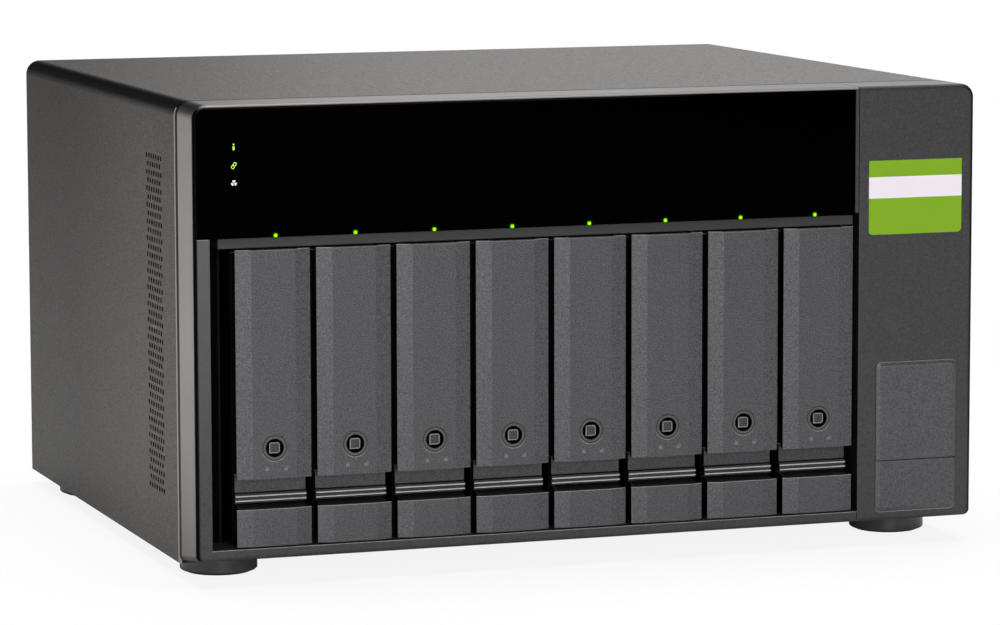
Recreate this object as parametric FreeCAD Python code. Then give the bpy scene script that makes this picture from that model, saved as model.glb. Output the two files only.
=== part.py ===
"""Desktop disk enclosure with eight upright drive trays, modelled piece by piece.

Units are millimetres. +X is to the right of someone facing the front, -Y is the front and +Z is up.
The origin is on the floor, under the middle of the whole enclosure.
Depths are given behind the front face plane and turned into Y by the function at().
"""
import FreeCAD
import Part
import math
import os

V = FreeCAD.Vector
X_AXIS = V(1, 0, 0)
Y_AXIS = V(0, 1, 0)
Z_AXIS = V(0, 0, 1)
OVER = 1.0
TOLERANCE = 1e-4

# ---------------------------------------------------------------- overall sizes
WIDTH = 329.3
DEPTH = 279.6
HEIGHT = 188.2
FASCIA_PROUD = 0.8
REAR_PROUD = 2.2
FACE_Y = -DEPTH / 2 + FASCIA_PROUD
SHELL_BACK = DEPTH - FASCIA_PROUD - REAR_PROUD
HALF_WIDTH = WIDTH / 2
FIT_GAP = 0.3
SEAM = 0.25

# ---------------------------------------------------------------- sheet metal case
SHEET = 1.0
COVER_BOTTOM = 6.2
COVER_CORNER = 6.0
COVER_FLANGE = 9.0
PAN_INSET = 0.5
PAN_WALL = 14.0
REAR_INSET = 0.6
REAR_LIP = 9.0

# ---------------------------------------------------------------- moulded front
BEZEL_DEPTH = 25.5
BEZEL_WALL = 2.4
BEZEL_FRONT_BOTTOM = 10.7
BEZEL_BACK_BOTTOM = 7.1
BEZEL_TOP_CORNER = 5.5
BEZEL_LOW_CORNER = 2.6
BEZEL_EDGE = 1.8
PILLAR_WIDTH = 50.75
JAMB = 6.4
RAIL_TOP = 14.8
TUNNEL_DEPTH = 18.0
TUNNEL_WALL = 2.0

FASCIA_SIDE_INSET = 1.35
FASCIA_PILLAR_GAP = 1.9
FASCIA_TOP_INSET = 1.2
FASCIA_CORNER = 4.0
FASCIA_SINK = 1.2
FASCIA_BEVEL = 0.5
POCKET_GAP = 0.1
LAMP_SHIFT = 0.83
LAMP_PITCH_CUT = 0.475
LAMP_HALF = 0.85
LAMP_HEIGHT = 1.55
STATUS_INSET = 16.65
STATUS_DROP = 14.8
STATUS_PITCH = 7.05
STATUS_COUNT = 3
STATUS_RADIUS = 2.0
STATUS_SINK = 0.25

HEADER_JAMB_GAP = 3.55
HEADER_PILLAR_GAP = 2.3
HEADER_HEIGHT = 4.8
HEADER_LAP = 0.8
HEADER_LENGTH = 11.7

# ---------------------------------------------------------------- pillar furniture
INSERT_SEAM_INSET = 8.0
INSERT_SIDE_INSET = 7.05
INSERT_BOTTOM = 14.15
INSERT_TOP = 75.7
INSERT_SPLIT = 35.2
INSERT_SPLIT_GAP = 0.3
INSERT_CORNER = 2.5
INSERT_BEVEL = 1.6
INSERT_BEVEL_DEPTH = 0.7
LABEL_SEAM_INSET = 4.2
LABEL_SIDE_INSET = 5.45
LABEL_TOP_INSET = 30.15
LABEL_HEIGHT = 30.1
LABEL_CORNER = 1.8
LABEL_THICK = 0.15

# ---------------------------------------------------------------- trays
TRAY_COUNT = 8
FIELD_LEFT_GAP = 9.0
FIELD_RIGHT_GAP = 0.95
TRAY_GAP = 2.515
RUNNER_SPACE = 3.575
FACET_WIDTH = 6.3
FACET_DEPTH = 1.2
RIM_DEPTH = 2.0
RIM_REACH = 1.4
TRAY_BOTTOM = 15.5
NOSE_TOP = 30.2
NOSE_LEDGE = 31.5
NOSE_LEDGE_DEPTH = 6.4
SCOOP_DIP = 0.5
HANDLE_BOTTOM = 42.0
HANDLE_REVEAL = 0.75
HANDLE_THICK = 7.0
HANDLE_WALL = 1.4
HANDLE_CHAMFER = 0.3
HANDLE_BACK_CHAMFER = 2.0
TONGUE_BOTTOM = 36.1
TONGUE_THICK = 1.6
PLATE_FRONT = 10.0
PLATE_THICK = 2.0
CARRIER_WALL = 1.4
CARRIER_TAIL = 0.7
PLATE_SLOT_SPREAD = 8.0
PLATE_SLOT_HALF = 3.0
PLATE_SLOT_BOTTOM = 66.0
PLATE_SLOT_LENGTH = 48.0

# ---------------------------------------------------------------- handle hinge and ejector tooth
PIVOT_DEPTH = 3.2
PIVOT_DROP = 6.2
PIN_RADIUS = 0.8
PIN_CLEAR = 0.05
EAR_RADIUS = 1.45
EAR_THICK = 1.6
EAR_INSET = 3.73
TOOTH_HALF = 4.0
TOOTH_REACH = 2.4
TOOTH_LOW = 3.4
TOOTH_HIGH = 0.4
TOOTH_BEVEL = 0.4
TOOTH_SWING = 4.5
TOOTH_SIDE_GAP = 0.6

# ---------------------------------------------------------------- lock plug
LOCK_Z = 54.1
LOCK_RADIUS = 5.2
LOCK_CLEAR = 0.05
LOCK_RECESS_RADIUS = 3.65
LOCK_RECESS_DEPTH = 3.4
LOCK_LENGTH = 5.0
LOCK_BOSS_WALL = 1.3
PEG_HALF = 2.1
PEG_CORNER = 0.9
PEG_RISE = 3.0
PEG_STEP = 0.6
PEG_STEP_RISE = 0.25
CAM_LENGTH = 9.0
CAM_WIDTH = 4.0
CAM_THICK = 1.2

# ---------------------------------------------------------------- release catch
CATCH_BOTTOM = 31.9
CATCH_TOP = 35.6
CATCH_FRONT = 6.5
CATCH_BACK = 8.2
CATCH_END_GAP = 0.73
CATCH_TRAVEL = 1.5
RIDGE_RISE = 0.9
RIDGE_HALF = 0.55
RIDGE_COUNT = 2
RIDGE_INSET = 0.5
RIDGE_PITCH = 1.8
CATCH_STEM_HALF = 6.0
CATCH_STEM_THICK = 1.6
CATCH_STEM_BACK = 12.6
CATCH_WINDOW_GAP = 0.4

# ---------------------------------------------------------------- drive bay
DRIVE_HEIGHT = 101.6
DRIVE_LENGTH = 147.0
DRIVE_GAP = 0.3
RUNNER_THICK = 5.4
RIB_WIDTH = 2.0
RIB_GAP = 0.25
GROOVE_DEPTH = 3.0
CAGE_SETBACK = 1.5
CAGE_TAIL = 19.0
CAGE_GAP = 2.4
CAGE_RAIL_LAP = 0.075
CAGE_TOP_SPACE = 16.2
CAGE_SIDE_GAP = 1.6
CAGE_FLANGE = 9.0
WINDOW_MARGIN = 14.0
WINDOW_BRIDGE = 12.0
WINDOW_CORNER = 4.0
WINDOW_HOLE_EDGE = 3.0
SMALL_DRIVE_PITCH_Y = 76.6
SMALL_DRIVE_PITCH_Z = 61.72
SMALL_DRIVE_HOLE = 1.6
SMALL_DRIVE_BACK = 14.0

# ---------------------------------------------------------------- boards and connectors
BOARD_THICK = 1.6
CONNECTOR_HALF_LENGTH = 18.0
CONNECTOR_THICK = 6.0
CONNECTOR_LENGTH = 11.4
CONNECTOR_SHIFT = -7.0
CONNECTOR_SLOT = 2.4
CONNECTOR_SLOT_DEPTH = 5.0
CONNECTOR_END = 2.0
BOARD_WINDOW_WIDTH = 12.0
BOARD_WINDOW_SHIFT = 8.0
BOARD_WINDOW_MARGIN = 14.0
CONTROL_FRONT = 118.0
CONTROL_PSU_GAP = 12.3
CONTROL_TOP_GAP = 4.0
STANDOFF_LENGTH = 5.0
STANDOFF_RADIUS = 2.6
STANDOFF_INSET = 7.0
CHIP_SIZE = 14.0
CHIP_THICK = 1.6
CHIP_COUNT = 3
CHIP_PITCH = 28.0
USB_WIDTH = 8.94
USB_THICK = 3.26
USB_WALL = 0.35
USB_LENGTH = 10.0
USB_TONGUE = 0.7
USB_FLAT = 0.2
USB_RISE = 10.0

# ---------------------------------------------------------------- power supply, inlet and rear controls
PSU_CAGE_GAP = 4.8
PSU_SIDE_GAP = 3.0
PSU_HEIGHT = 81.5
PSU_LENGTH = 150.0
PSU_FAN_RADIUS = 17.0
PSU_FAN_DEPTH = 10.0
PSU_SLOT_COUNT = 7
PSU_SLOT_WIDTH = 2.4
PSU_SLOT_PITCH = 4.6
PSU_SLOT_HEIGHT = 12.0
PSU_SLOT_DEPTH = 5.0
PSU_SLOT_Z = 15.0
INLET_Z = 66.0
INLET_HALF_WIDTH = 13.5
INLET_HALF_HEIGHT = 10.0
INLET_DEPTH = 18.0
INLET_FLANGE = 2.2
INLET_FLANGE_THICK = 1.4
INLET_CAVITY_HALF_WIDTH = 12.2
INLET_CAVITY_HALF_HEIGHT = 8.0
INLET_CAVITY_DEPTH = 15.5
INLET_CORNER = 5.0
PIN_BLADE_HALF_WIDTH = 1.0
PIN_BLADE_HALF_HEIGHT = 2.0
PIN_BLADE_LENGTH = 10.0
PIN_BLADE_SPREAD = 7.0
PIN_BLADE_OFFSET = 2.0
SWITCH_Z = 40.0
SWITCH_HALF_WIDTH = 5.6
SWITCH_HALF_HEIGHT = 9.0
SWITCH_TILT = 9.0
SWITCH_POCKET_DEPTH = 13.0
SWITCH_PIVOT_DEPTH = 4.0
SWITCH_PIN_RADIUS = 1.5
SWITCH_PIN_REACH = 2.0
SWITCH_RISE = 1.4
SWITCH_END_GAP = 0.9
SELECTOR_RISE = 26.0
SELECTOR_TRAVEL = 6.0
SELECTOR_HALF = 1.6
SELECTOR_REACH = 1.6
SELECTOR_BODY_DEPTH = 6.0
SELECTOR_BODY_HALF_X = 3.2
SELECTOR_BODY_HALF_Z = 8.0
LOCK_SLOT_WIDTH = 7.0
LOCK_SLOT_HEIGHT = 3.0
LOCK_SLOT_DROP = 40.2

# ---------------------------------------------------------------- fans
FAN_SIZE = 120.0
FAN_THICK = 25.0
FAN_FLANGE = 4.0
FAN_CORNER = 5.0
FAN_WALL = 2.5
FAN_WAIST = 1.2
FAN_WAIST_HALF = 28.0
FAN_STRUT_SINK = 0.8
FAN_HOLE_INSET = 7.5
FAN_HOLE_RADIUS = 2.2
FAN_GAP = 1.5
FAN_Z = 88.0
FAN_STRUT_WIDTH = 6.0
FAN_STRUT_THICK = 3.0
FAN_HUB_RADIUS = 20.0
FAN_HUB_LENGTH = 18.0
FAN_HUB_BEVEL = 1.5
BLADE_ROOT_SINK = 1.0
FAN_AXLE_RADIUS = 2.5
FAN_AXLE_CLEAR = 0.05
FAN_AXLE_BORE_DEPTH = 10.0
BLADE_COUNT = 7
BLADE_TIP_GAP = 2.5
BLADE_THICK = 1.4
BLADE_ROOT_CHORD = 17.0
BLADE_TIP_CHORD = 27.0
BLADE_PITCH = 34.0
GRILLE_RINGS = 4
GRILLE_SLOT = 8.6
GRILLE_BAR = 2.8
GRILLE_SPOKE = 5.0

# ---------------------------------------------------------------- vent field on the left side
VENT_FRONT = 47.8
VENT_BOTTOM = 31.4
VENT_COLUMNS = 7
VENT_TOP_SPACE = 24.0
VENT_PITCH = 3.6
VENT_ROW_PITCH = 3.31
VENT_HOLE = 1.9

# ---------------------------------------------------------------- feet and screws
FOOT_SIDE_INSET = 19.8
FOOT_FRONT = 40.0
FOOT_BACK_INSET = 35.6
FOOT_RADIUS = 15.4
FOOT_EDGE = 0.5
PAD_RADIUS = 13.0
PAD_THICK = 0.8
THUMB_RADIUS = 4.4
THUMB_LENGTH = 2.8
THUMB_SHANK_RADIUS = 1.5
THUMB_SHANK = 5.0
THUMB_SLOT = 1.2
THUMB_SLOT_DEPTH = 1.0
THUMB_INSET = 10.0
THUMB_DROP = 18.2
FAN_SCREW_RADIUS = 3.6
FAN_SCREW_HEAD = 1.2

# ---------------------------------------------------------------- places worked out from the sizes above
INNER_WIDTH_HALF = HALF_WIDTH - SHEET
PAN_TOP = COVER_BOTTOM + 2 * SHEET
COVER_FRONT = BEZEL_DEPTH + SEAM
JAMB_INNER = -HALF_WIDTH + JAMB
PILLAR_LEFT = HALF_WIDTH - PILLAR_WIDTH

DRIVE_FRONT = PLATE_FRONT + PLATE_THICK + DRIVE_GAP
RUNNER_INNER = DRIVE_HEIGHT / 2 + DRIVE_GAP
RUNNER_OUTER = RUNNER_INNER + RUNNER_THICK
CAGE_PLATE_INNER = RUNNER_OUTER + CAGE_GAP
BAY_MID = RAIL_TOP + CAGE_PLATE_INNER - CAGE_RAIL_LAP
HEADER_BOTTOM = BAY_MID + CAGE_PLATE_INNER - CAGE_RAIL_LAP
HANDLE_TOP = HEADER_BOTTOM - HANDLE_REVEAL
PIVOT_Z = HANDLE_TOP - PIVOT_DROP
PLATE_SLOT_TOP = PLATE_SLOT_BOTTOM + PLATE_SLOT_LENGTH
CATCH_MID = (CATCH_BOTTOM + CATCH_TOP) / 2

TRAY_PITCH = (PILLAR_LEFT - FIELD_RIGHT_GAP - JAMB_INNER - FIELD_LEFT_GAP) / TRAY_COUNT
TRAY_FIRST_X = JAMB_INNER + FIELD_LEFT_GAP + TRAY_PITCH / 2
TRAY_X = [TRAY_FIRST_X + i * TRAY_PITCH for i in range(TRAY_COUNT)]
TRAY_WIDTH = TRAY_PITCH - TRAY_GAP
TRAY_BODY_HALF = TRAY_WIDTH / 2 - RIM_REACH
CATCH_HALF = TRAY_WIDTH / 2 - CATCH_END_GAP
EAR_SPREAD = TRAY_BODY_HALF - EAR_INSET
RUNNER_WIDTH = TRAY_PITCH - RUNNER_SPACE
CARRIER_LENGTH = DRIVE_GAP + DRIVE_LENGTH + CARRIER_TAIL

OPENING_TOP = HEADER_BOTTOM + HEADER_HEIGHT
FASCIA_LEFT = -HALF_WIDTH + FASCIA_SIDE_INSET
FASCIA_RIGHT = PILLAR_LEFT - FASCIA_PILLAR_GAP
FASCIA_BOTTOM = OPENING_TOP - HEADER_LAP
FASCIA_TOP = HEIGHT - FASCIA_TOP_INSET
LAMP_PITCH = TRAY_PITCH - LAMP_PITCH_CUT
LAMP_X = [TRAY_FIRST_X + LAMP_SHIFT + i * LAMP_PITCH for i in range(TRAY_COUNT)]
STATUS_X = -HALF_WIDTH + STATUS_INSET
STATUS_Z = [FASCIA_TOP - STATUS_DROP - i * STATUS_PITCH for i in range(STATUS_COUNT)]
HEADER_LEFT = JAMB_INNER + HEADER_JAMB_GAP
HEADER_RIGHT = PILLAR_LEFT - HEADER_PILLAR_GAP
HEADER_FRONT = FASCIA_SINK + POCKET_GAP
INSERT_LEFT = PILLAR_LEFT + INSERT_SEAM_INSET
INSERT_RIGHT = HALF_WIDTH - INSERT_SIDE_INSET
LABEL_LEFT = PILLAR_LEFT + LABEL_SEAM_INSET
LABEL_RIGHT = HALF_WIDTH - LABEL_SIDE_INSET
LABEL_TOP = HEIGHT - LABEL_TOP_INSET
LABEL_BOTTOM = LABEL_TOP - LABEL_HEIGHT

CAGE_LEFT = TRAY_FIRST_X - RUNNER_WIDTH / 2 - CAGE_SIDE_GAP
CAGE_RIGHT = TRAY_X[-1] + RUNNER_WIDTH / 2 + CAGE_SIDE_GAP
CAGE_FRONT = TUNNEL_DEPTH + CAGE_SETBACK
CAGE_WALL_TOP = HEIGHT - CAGE_TOP_SPACE
BACKPLANE_DEPTH = DRIVE_FRONT + DRIVE_LENGTH + FIT_GAP + CONNECTOR_LENGTH
CAGE_BACK = BACKPLANE_DEPTH + CAGE_TAIL

REAR_SHEET_FRONT = SHELL_BACK - REAR_INSET - SHEET
REAR_SHEET_BACK = REAR_SHEET_FRONT + SHEET
PSU_LEFT = CAGE_RIGHT + SHEET + PSU_CAGE_GAP
PSU_RIGHT = INNER_WIDTH_HALF - PAN_INSET - SHEET - PSU_SIDE_GAP
PSU_MID_X = (PSU_LEFT + PSU_RIGHT) / 2
PSU_FRONT = REAR_SHEET_FRONT - PSU_LENGTH
PSU_TOP = PAN_TOP + PSU_HEIGHT
CONTROL_X = CAGE_RIGHT + SHEET + STANDOFF_LENGTH
CONTROL_BOTTOM = PSU_TOP + CONTROL_PSU_GAP
CONTROL_TOP = CAGE_WALL_TOP - CONTROL_TOP_GAP
PORT_X = CONTROL_X + BOARD_THICK + USB_THICK / 2
USB_Z = CONTROL_BOTTOM + USB_RISE
SELECTOR_Z = CONTROL_BOTTOM + SELECTOR_RISE
LOCK_SLOT_Z = HEIGHT - LOCK_SLOT_DROP

FAN_BORE = FAN_SIZE / 2 - FAN_WALL
FAN_HOLE_PITCH = FAN_SIZE - 2 * FAN_HOLE_INSET
FAN_SPREAD = FAN_SIZE + FAN_GAP
FAN_MID_X = (CONTROL_X - INNER_WIDTH_HALF) / 2
FAN_X = [FAN_MID_X - FAN_SPREAD / 2, FAN_MID_X + FAN_SPREAD / 2]
BLADE_TIP = FAN_BORE - BLADE_TIP_GAP

VENT_ROWS = int((HEIGHT - VENT_TOP_SPACE - VENT_BOTTOM) / VENT_ROW_PITCH) + 1
FOOT_X = HALF_WIDTH - FOOT_SIDE_INSET
FOOT_BACK = SHELL_BACK - FOOT_BACK_INSET
THUMB_Z = HEIGHT - THUMB_DROP


# ---------------------------------------------------------------- shape helpers
def at(depth):
    """Y of a plane that lies this far behind the front face."""
    return FACE_Y + depth


def block(x0, x1, d0, d1, z0, z1):
    """Box between two X, two depths behind the face, and two heights."""
    return Part.makeBox(x1 - x0, d1 - d0, z1 - z0, V(x0, at(d0), z0))


def prism_x(profile, x0, x1):
    """Extrudes a closed (depth, z) outline along X."""
    points = [V(x0, at(d), z) for d, z in profile]
    return Part.Face(Part.makePolygon(points + points[:1])).extrude(V(x1 - x0, 0, 0))


def prism_y(profile, d0, d1):
    """Extrudes a closed (x, z) outline along Y."""
    points = [V(x, at(d0), z) for x, z in profile]
    return Part.Face(Part.makePolygon(points + points[:1])).extrude(V(0, d1 - d0, 0))


def prism_z(profile, z0, z1):
    """Extrudes a closed (x, depth) outline along Z."""
    points = [V(x, at(d), z0) for x, d in profile]
    return Part.Face(Part.makePolygon(points + points[:1])).extrude(V(0, 0, z1 - z0))


def rod_y(x, z, radius, d0, d1):
    """Cylinder along Y."""
    return Part.makeCylinder(radius, d1 - d0, V(x, at(d0), z), Y_AXIS)


def rod_x(x0, x1, depth, z, radius):
    """Cylinder along X."""
    return Part.makeCylinder(radius, x1 - x0, V(x0, at(depth), z), X_AXIS)


def rod_z(x, depth, radius, z0, z1):
    """Cylinder along Z."""
    return Part.makeCylinder(radius, z1 - z0, V(x, at(depth), z0), Z_AXIS)


def runs_along(edge, direction):
    """True for a straight edge parallel to the direction."""
    if not isinstance(edge.Curve, Part.Line):
        return False
    return abs(abs(edge.Curve.Direction.dot(direction)) - 1) < TOLERANCE ** 2


def rounded(shape, radius, direction, wanted=lambda middle: True):
    """Fillets the straight edges along a direction whose middles pass the test."""
    edges = [e for e in shape.Edges if runs_along(e, direction) and wanted(e.CenterOfMass)]
    return shape.makeFillet(radius, edges)


def front_edges(shape, depth):
    """Edges that lie in the plane at this depth."""
    return [e for e in shape.Edges
            if abs(e.BoundBox.YMin - at(depth)) < TOLERANCE and abs(e.BoundBox.YMax - at(depth)) < TOLERANCE]


def fused(pieces):
    """One solid out of touching pieces, without the seams between them."""
    return pieces[0].multiFuse(pieces[1:]).removeSplitter()


def write(name, shape):
    """Saves one named piece."""
    shape.exportStep("parts/%s.step" % name)


# ---------------------------------------------------------------- moulded front
def front_shell(x0, x1, outer_side):
    """Front moulding between two X, with its outer corners on the given side (-1 left, 1 right)."""
    side = HALF_WIDTH * outer_side
    joint = x0 if outer_side > 0 else x1
    body = block(x0, x1, 0, BEZEL_DEPTH, BEZEL_BACK_BOTTOM, HEIGHT).cut(underside_wedge(x0, x1))
    body = rounded(body, BEZEL_TOP_CORNER, Y_AXIS, lambda m: abs(m.x - side) < OVER and m.z > BAY_MID)
    low_corner = [e for e in edges_at_x(body, side)
                  if e.CenterOfMass.z < RAIL_TOP and e.BoundBox.YLength > OVER]
    body = body.makeFillet(BEZEL_LOW_CORNER, low_corner)
    joint_edges = edges_at_x(body, joint)
    rim = [e for e in front_edges(body, 0) if not any(e.isSame(other) for other in joint_edges)]
    return body.makeFillet(BEZEL_EDGE, rim)


def edges_at_x(shape, x):
    """Edges that lie in the plane at this X."""
    return [e for e in shape.Edges
            if abs(e.BoundBox.XMin - x) < TOLERANCE and abs(e.BoundBox.XMax - x) < TOLERANCE]


def underside_wedge(x0, x1):
    """What the rising underside takes off the bottom of the front moulding."""
    profile = [(-OVER, BEZEL_BACK_BOTTOM - OVER), (-OVER, BEZEL_FRONT_BOTTOM), (0, BEZEL_FRONT_BOTTOM),
               (BEZEL_DEPTH, BEZEL_BACK_BOTTOM), (BEZEL_DEPTH, BEZEL_BACK_BOTTOM - OVER)]
    return prism_x(profile, x0 - OVER, x1 + OVER)


def fascia_outline(gap, d0, d1):
    """Plate with the fascia's outline, grown by a gap, between two depths."""
    middle_z = (FASCIA_BOTTOM + FASCIA_TOP) / 2
    plate = block(FASCIA_LEFT - gap, FASCIA_RIGHT + gap, d0, d1, FASCIA_BOTTOM - gap, FASCIA_TOP + gap)
    return rounded(plate, FASCIA_CORNER + gap, Y_AXIS, lambda m: m.x < 0 and m.z > middle_z)


def shell_hollow(x0, x1):
    """Space behind the front wall of a front moulding."""
    return block(x0, x1, BEZEL_WALL, BEZEL_DEPTH + OVER,
                 BEZEL_FRONT_BOTTOM + BEZEL_WALL / 2, HEIGHT - BEZEL_WALL)


def bezel_frame():
    """Left jamb, bottom rail and top strip in one moulding, open at the back and towards the pillar."""
    right = PILLAR_LEFT - SEAM
    body = front_shell(-HALF_WIDTH, right, -1)
    hollow = shell_hollow(-HALF_WIDTH + BEZEL_WALL, right + OVER)
    tunnel = block(JAMB_INNER - TUNNEL_WALL, right + OVER, BEZEL_WALL, TUNNEL_DEPTH,
                   RAIL_TOP - TUNNEL_WALL, OPENING_TOP + TUNNEL_WALL)
    opening = block(JAMB_INNER, right + OVER, -OVER, BEZEL_DEPTH + OVER, RAIL_TOP, OPENING_TOP)
    body = body.cut(hollow.cut(tunnel)).cut(opening)
    return body.cut(fascia_outline(POCKET_GAP, -OVER, FASCIA_SINK)).removeSplitter()


def bezel_pillar():
    """Right-hand moulding with the pocket for its two cover plates."""
    body = front_shell(PILLAR_LEFT, HALF_WIDTH, 1)
    hollow = shell_hollow(PILLAR_LEFT + BEZEL_WALL, HALF_WIDTH - BEZEL_WALL)
    return body.cut(hollow).cut(insert_block(POCKET_GAP, -OVER, FASCIA_SINK))


def insert_block(gap, d0, d1):
    """Rounded plate that fills the pillar's pocket, grown by a gap."""
    plate = block(INSERT_LEFT - gap, INSERT_RIGHT + gap, d0, d1, INSERT_BOTTOM - gap, INSERT_TOP + gap)
    return rounded(plate, INSERT_CORNER + gap, Y_AXIS)


def front_wire(plate, depth):
    """Outline of a plate's face at this depth."""
    return Part.Wire(Part.__sortEdges__(front_edges(plate, depth)))


def insert_plate(z0, z1):
    """One of the two cover plates, cut from one rounded plate with a broad bevel round its front."""
    bevel_back = -FASCIA_PROUD + INSERT_BEVEL_DEPTH
    base = insert_block(0, bevel_back, FASCIA_SINK)
    face = insert_block(-INSERT_BEVEL, -FASCIA_PROUD, bevel_back)
    bevel = Part.makeLoft([front_wire(face, -FASCIA_PROUD), front_wire(base, bevel_back)], True, True)
    return fused([base, bevel]).common(
        block(INSERT_LEFT - OVER, INSERT_RIGHT + OVER, -FASCIA_PROUD - OVER, FASCIA_SINK + OVER, z0, z1))


def fascia_panel():
    """Gloss panel with seats for the status lenses and notches for the tray lamps."""
    plate = fascia_outline(0, -FASCIA_PROUD, FASCIA_SINK)
    plate = plate.makeChamfer(FASCIA_BEVEL, front_edges(plate, -FASCIA_PROUD))
    for x in LAMP_X:
        half = LAMP_HALF + POCKET_GAP
        plate = plate.cut(block(x - half, x + half, -OVER, FASCIA_SINK + OVER,
                                FASCIA_BOTTOM - OVER, FASCIA_BOTTOM + LAMP_HEIGHT + POCKET_GAP))
    for z in STATUS_Z:
        plate = plate.cut(rod_y(STATUS_X, z, STATUS_RADIUS + POCKET_GAP / 2, -OVER, FASCIA_SINK + OVER))
    return plate


def header_bar():
    """Strip that closes the opening under the fascia."""
    return block(HEADER_LEFT, HEADER_RIGHT, HEADER_FRONT, HEADER_FRONT + HEADER_LENGTH,
                 HEADER_BOTTOM, OPENING_TOP)


def indicator_lenses():
    """Small lens bars under the fascia's lower edge, and three round status lenses sunk a little into it."""
    lenses = [block(x - LAMP_HALF, x + LAMP_HALF, -FASCIA_PROUD, FASCIA_SINK,
                    FASCIA_BOTTOM, FASCIA_BOTTOM + LAMP_HEIGHT) for x in LAMP_X]
    lenses += [rod_y(STATUS_X, z, STATUS_RADIUS, STATUS_SINK - FASCIA_PROUD, FASCIA_SINK) for z in STATUS_Z]
    return Part.makeCompound(lenses)


def info_label():
    """Thin stuck-on label on the pillar."""
    plate = block(LABEL_LEFT, LABEL_RIGHT, -LABEL_THICK, 0, LABEL_BOTTOM, LABEL_TOP)
    return rounded(plate, LABEL_CORNER, Y_AXIS, lambda m: m.z < (LABEL_BOTTOM + LABEL_TOP) / 2)


# ---------------------------------------------------------------- sheet metal
def vent_holes():
    """Staggered square holes through the left side of the cover."""
    holes = []
    for row in range(VENT_ROWS):
        short = row % 2
        for column in range(VENT_COLUMNS - short):
            d = VENT_FRONT + (column + short / 2) * VENT_PITCH - VENT_HOLE / 2
            z = VENT_BOTTOM + row * VENT_ROW_PITCH - VENT_HOLE / 2
            holes.append(block(-HALF_WIDTH - OVER, -INNER_WIDTH_HALF + OVER,
                               d, d + VENT_HOLE, z, z + VENT_HOLE))
    return Part.makeCompound(holes)


def top_cover():
    """Wrap-round cover: top, two sides and a narrow flange turned in under each side."""
    outer = rounded(block(-HALF_WIDTH, HALF_WIDTH, COVER_FRONT, SHELL_BACK, COVER_BOTTOM, HEIGHT),
                    COVER_CORNER, Y_AXIS, lambda m: m.z > BAY_MID)
    inner = rounded(block(-INNER_WIDTH_HALF, INNER_WIDTH_HALF, COVER_FRONT - OVER, SHELL_BACK + OVER,
                          COVER_BOTTOM + SHEET, HEIGHT - SHEET),
                    COVER_CORNER - SHEET, Y_AXIS, lambda m: m.z > BAY_MID)
    floor_half = INNER_WIDTH_HALF - COVER_FLANGE
    gap = block(-floor_half, floor_half, COVER_FRONT - OVER, SHELL_BACK + OVER,
                COVER_BOTTOM - OVER, COVER_BOTTOM + SHEET + OVER)
    return outer.cut(inner).cut(gap).cut(vent_holes())


def base_pan():
    """Floor sheet with turned-up sides."""
    half = INNER_WIDTH_HALF - PAN_INSET
    z0 = PAN_TOP - SHEET
    profile = [(-half, z0), (half, z0), (half, z0 + PAN_WALL), (half - SHEET, z0 + PAN_WALL),
               (half - SHEET, PAN_TOP), (-half + SHEET, PAN_TOP), (-half + SHEET, z0 + PAN_WALL),
               (-half, z0 + PAN_WALL)]
    pan = prism_y(profile, COVER_FRONT + FIT_GAP, REAR_SHEET_FRONT)
    for x, d in foot_places():
        pan = pan.cut(rod_z(x, d, THUMB_SHANK_RADIUS, COVER_BOTTOM, PAN_TOP + OVER))
    return pan


def fan_grille(x):
    """Concentric slots, broken by four spokes, in front of one fan."""
    front = REAR_SHEET_FRONT - OVER
    back = REAR_SHEET_BACK + OVER
    rings = []
    for ring in range(GRILLE_RINGS):
        outer = FAN_BORE - ring * (GRILLE_SLOT + GRILLE_BAR) - GRILLE_BAR / 2
        slot = rod_y(x, FAN_Z, outer, front, back)
        rings.append(slot.cut(rod_y(x, FAN_Z, outer - GRILLE_SLOT, front, back)))
    spoke = GRILLE_SPOKE / 2
    d0 = front - OVER
    d1 = back + OVER
    spokes = fused([block(x - FAN_BORE, x + FAN_BORE, d0, d1, FAN_Z - spoke, FAN_Z + spoke),
                    block(x - spoke, x + spoke, d0, d1, FAN_Z - FAN_BORE, FAN_Z + FAN_BORE)])
    return Part.makeCompound(rings).cut(spokes)


def rear_panel():
    """Back sheet with its turned-in rim, fan grilles and cut-outs for the rear controls."""
    half = INNER_WIDTH_HALF - PAN_INSET
    top = HEIGHT - SHEET - PAN_INSET
    corner = COVER_CORNER - SHEET - PAN_INSET
    lip_front = REAR_SHEET_FRONT - REAR_LIP
    plate = block(-half, half, lip_front, REAR_SHEET_BACK, PAN_TOP, top)
    plate = rounded(plate, corner, Y_AXIS, lambda m: m.z > BAY_MID)
    hollow = block(-half + SHEET, half - SHEET, lip_front - OVER, REAR_SHEET_FRONT,
                   PAN_TOP - OVER, top - SHEET)
    hollow = rounded(hollow, corner - SHEET, Y_AXIS, lambda m: m.z > BAY_MID)
    side_slot = block(-half - OVER, half + OVER, lip_front - OVER, REAR_SHEET_FRONT,
                      PAN_TOP - OVER, PAN_TOP + PAN_WALL)
    plate = plate.cut(hollow).cut(side_slot)
    for x in FAN_X:
        plate = plate.cut(fan_grille(x))
    for hole in rear_holes(REAR_SHEET_FRONT - OVER, REAR_SHEET_BACK + OVER):
        plate = plate.cut(hole)
    return plate


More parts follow.
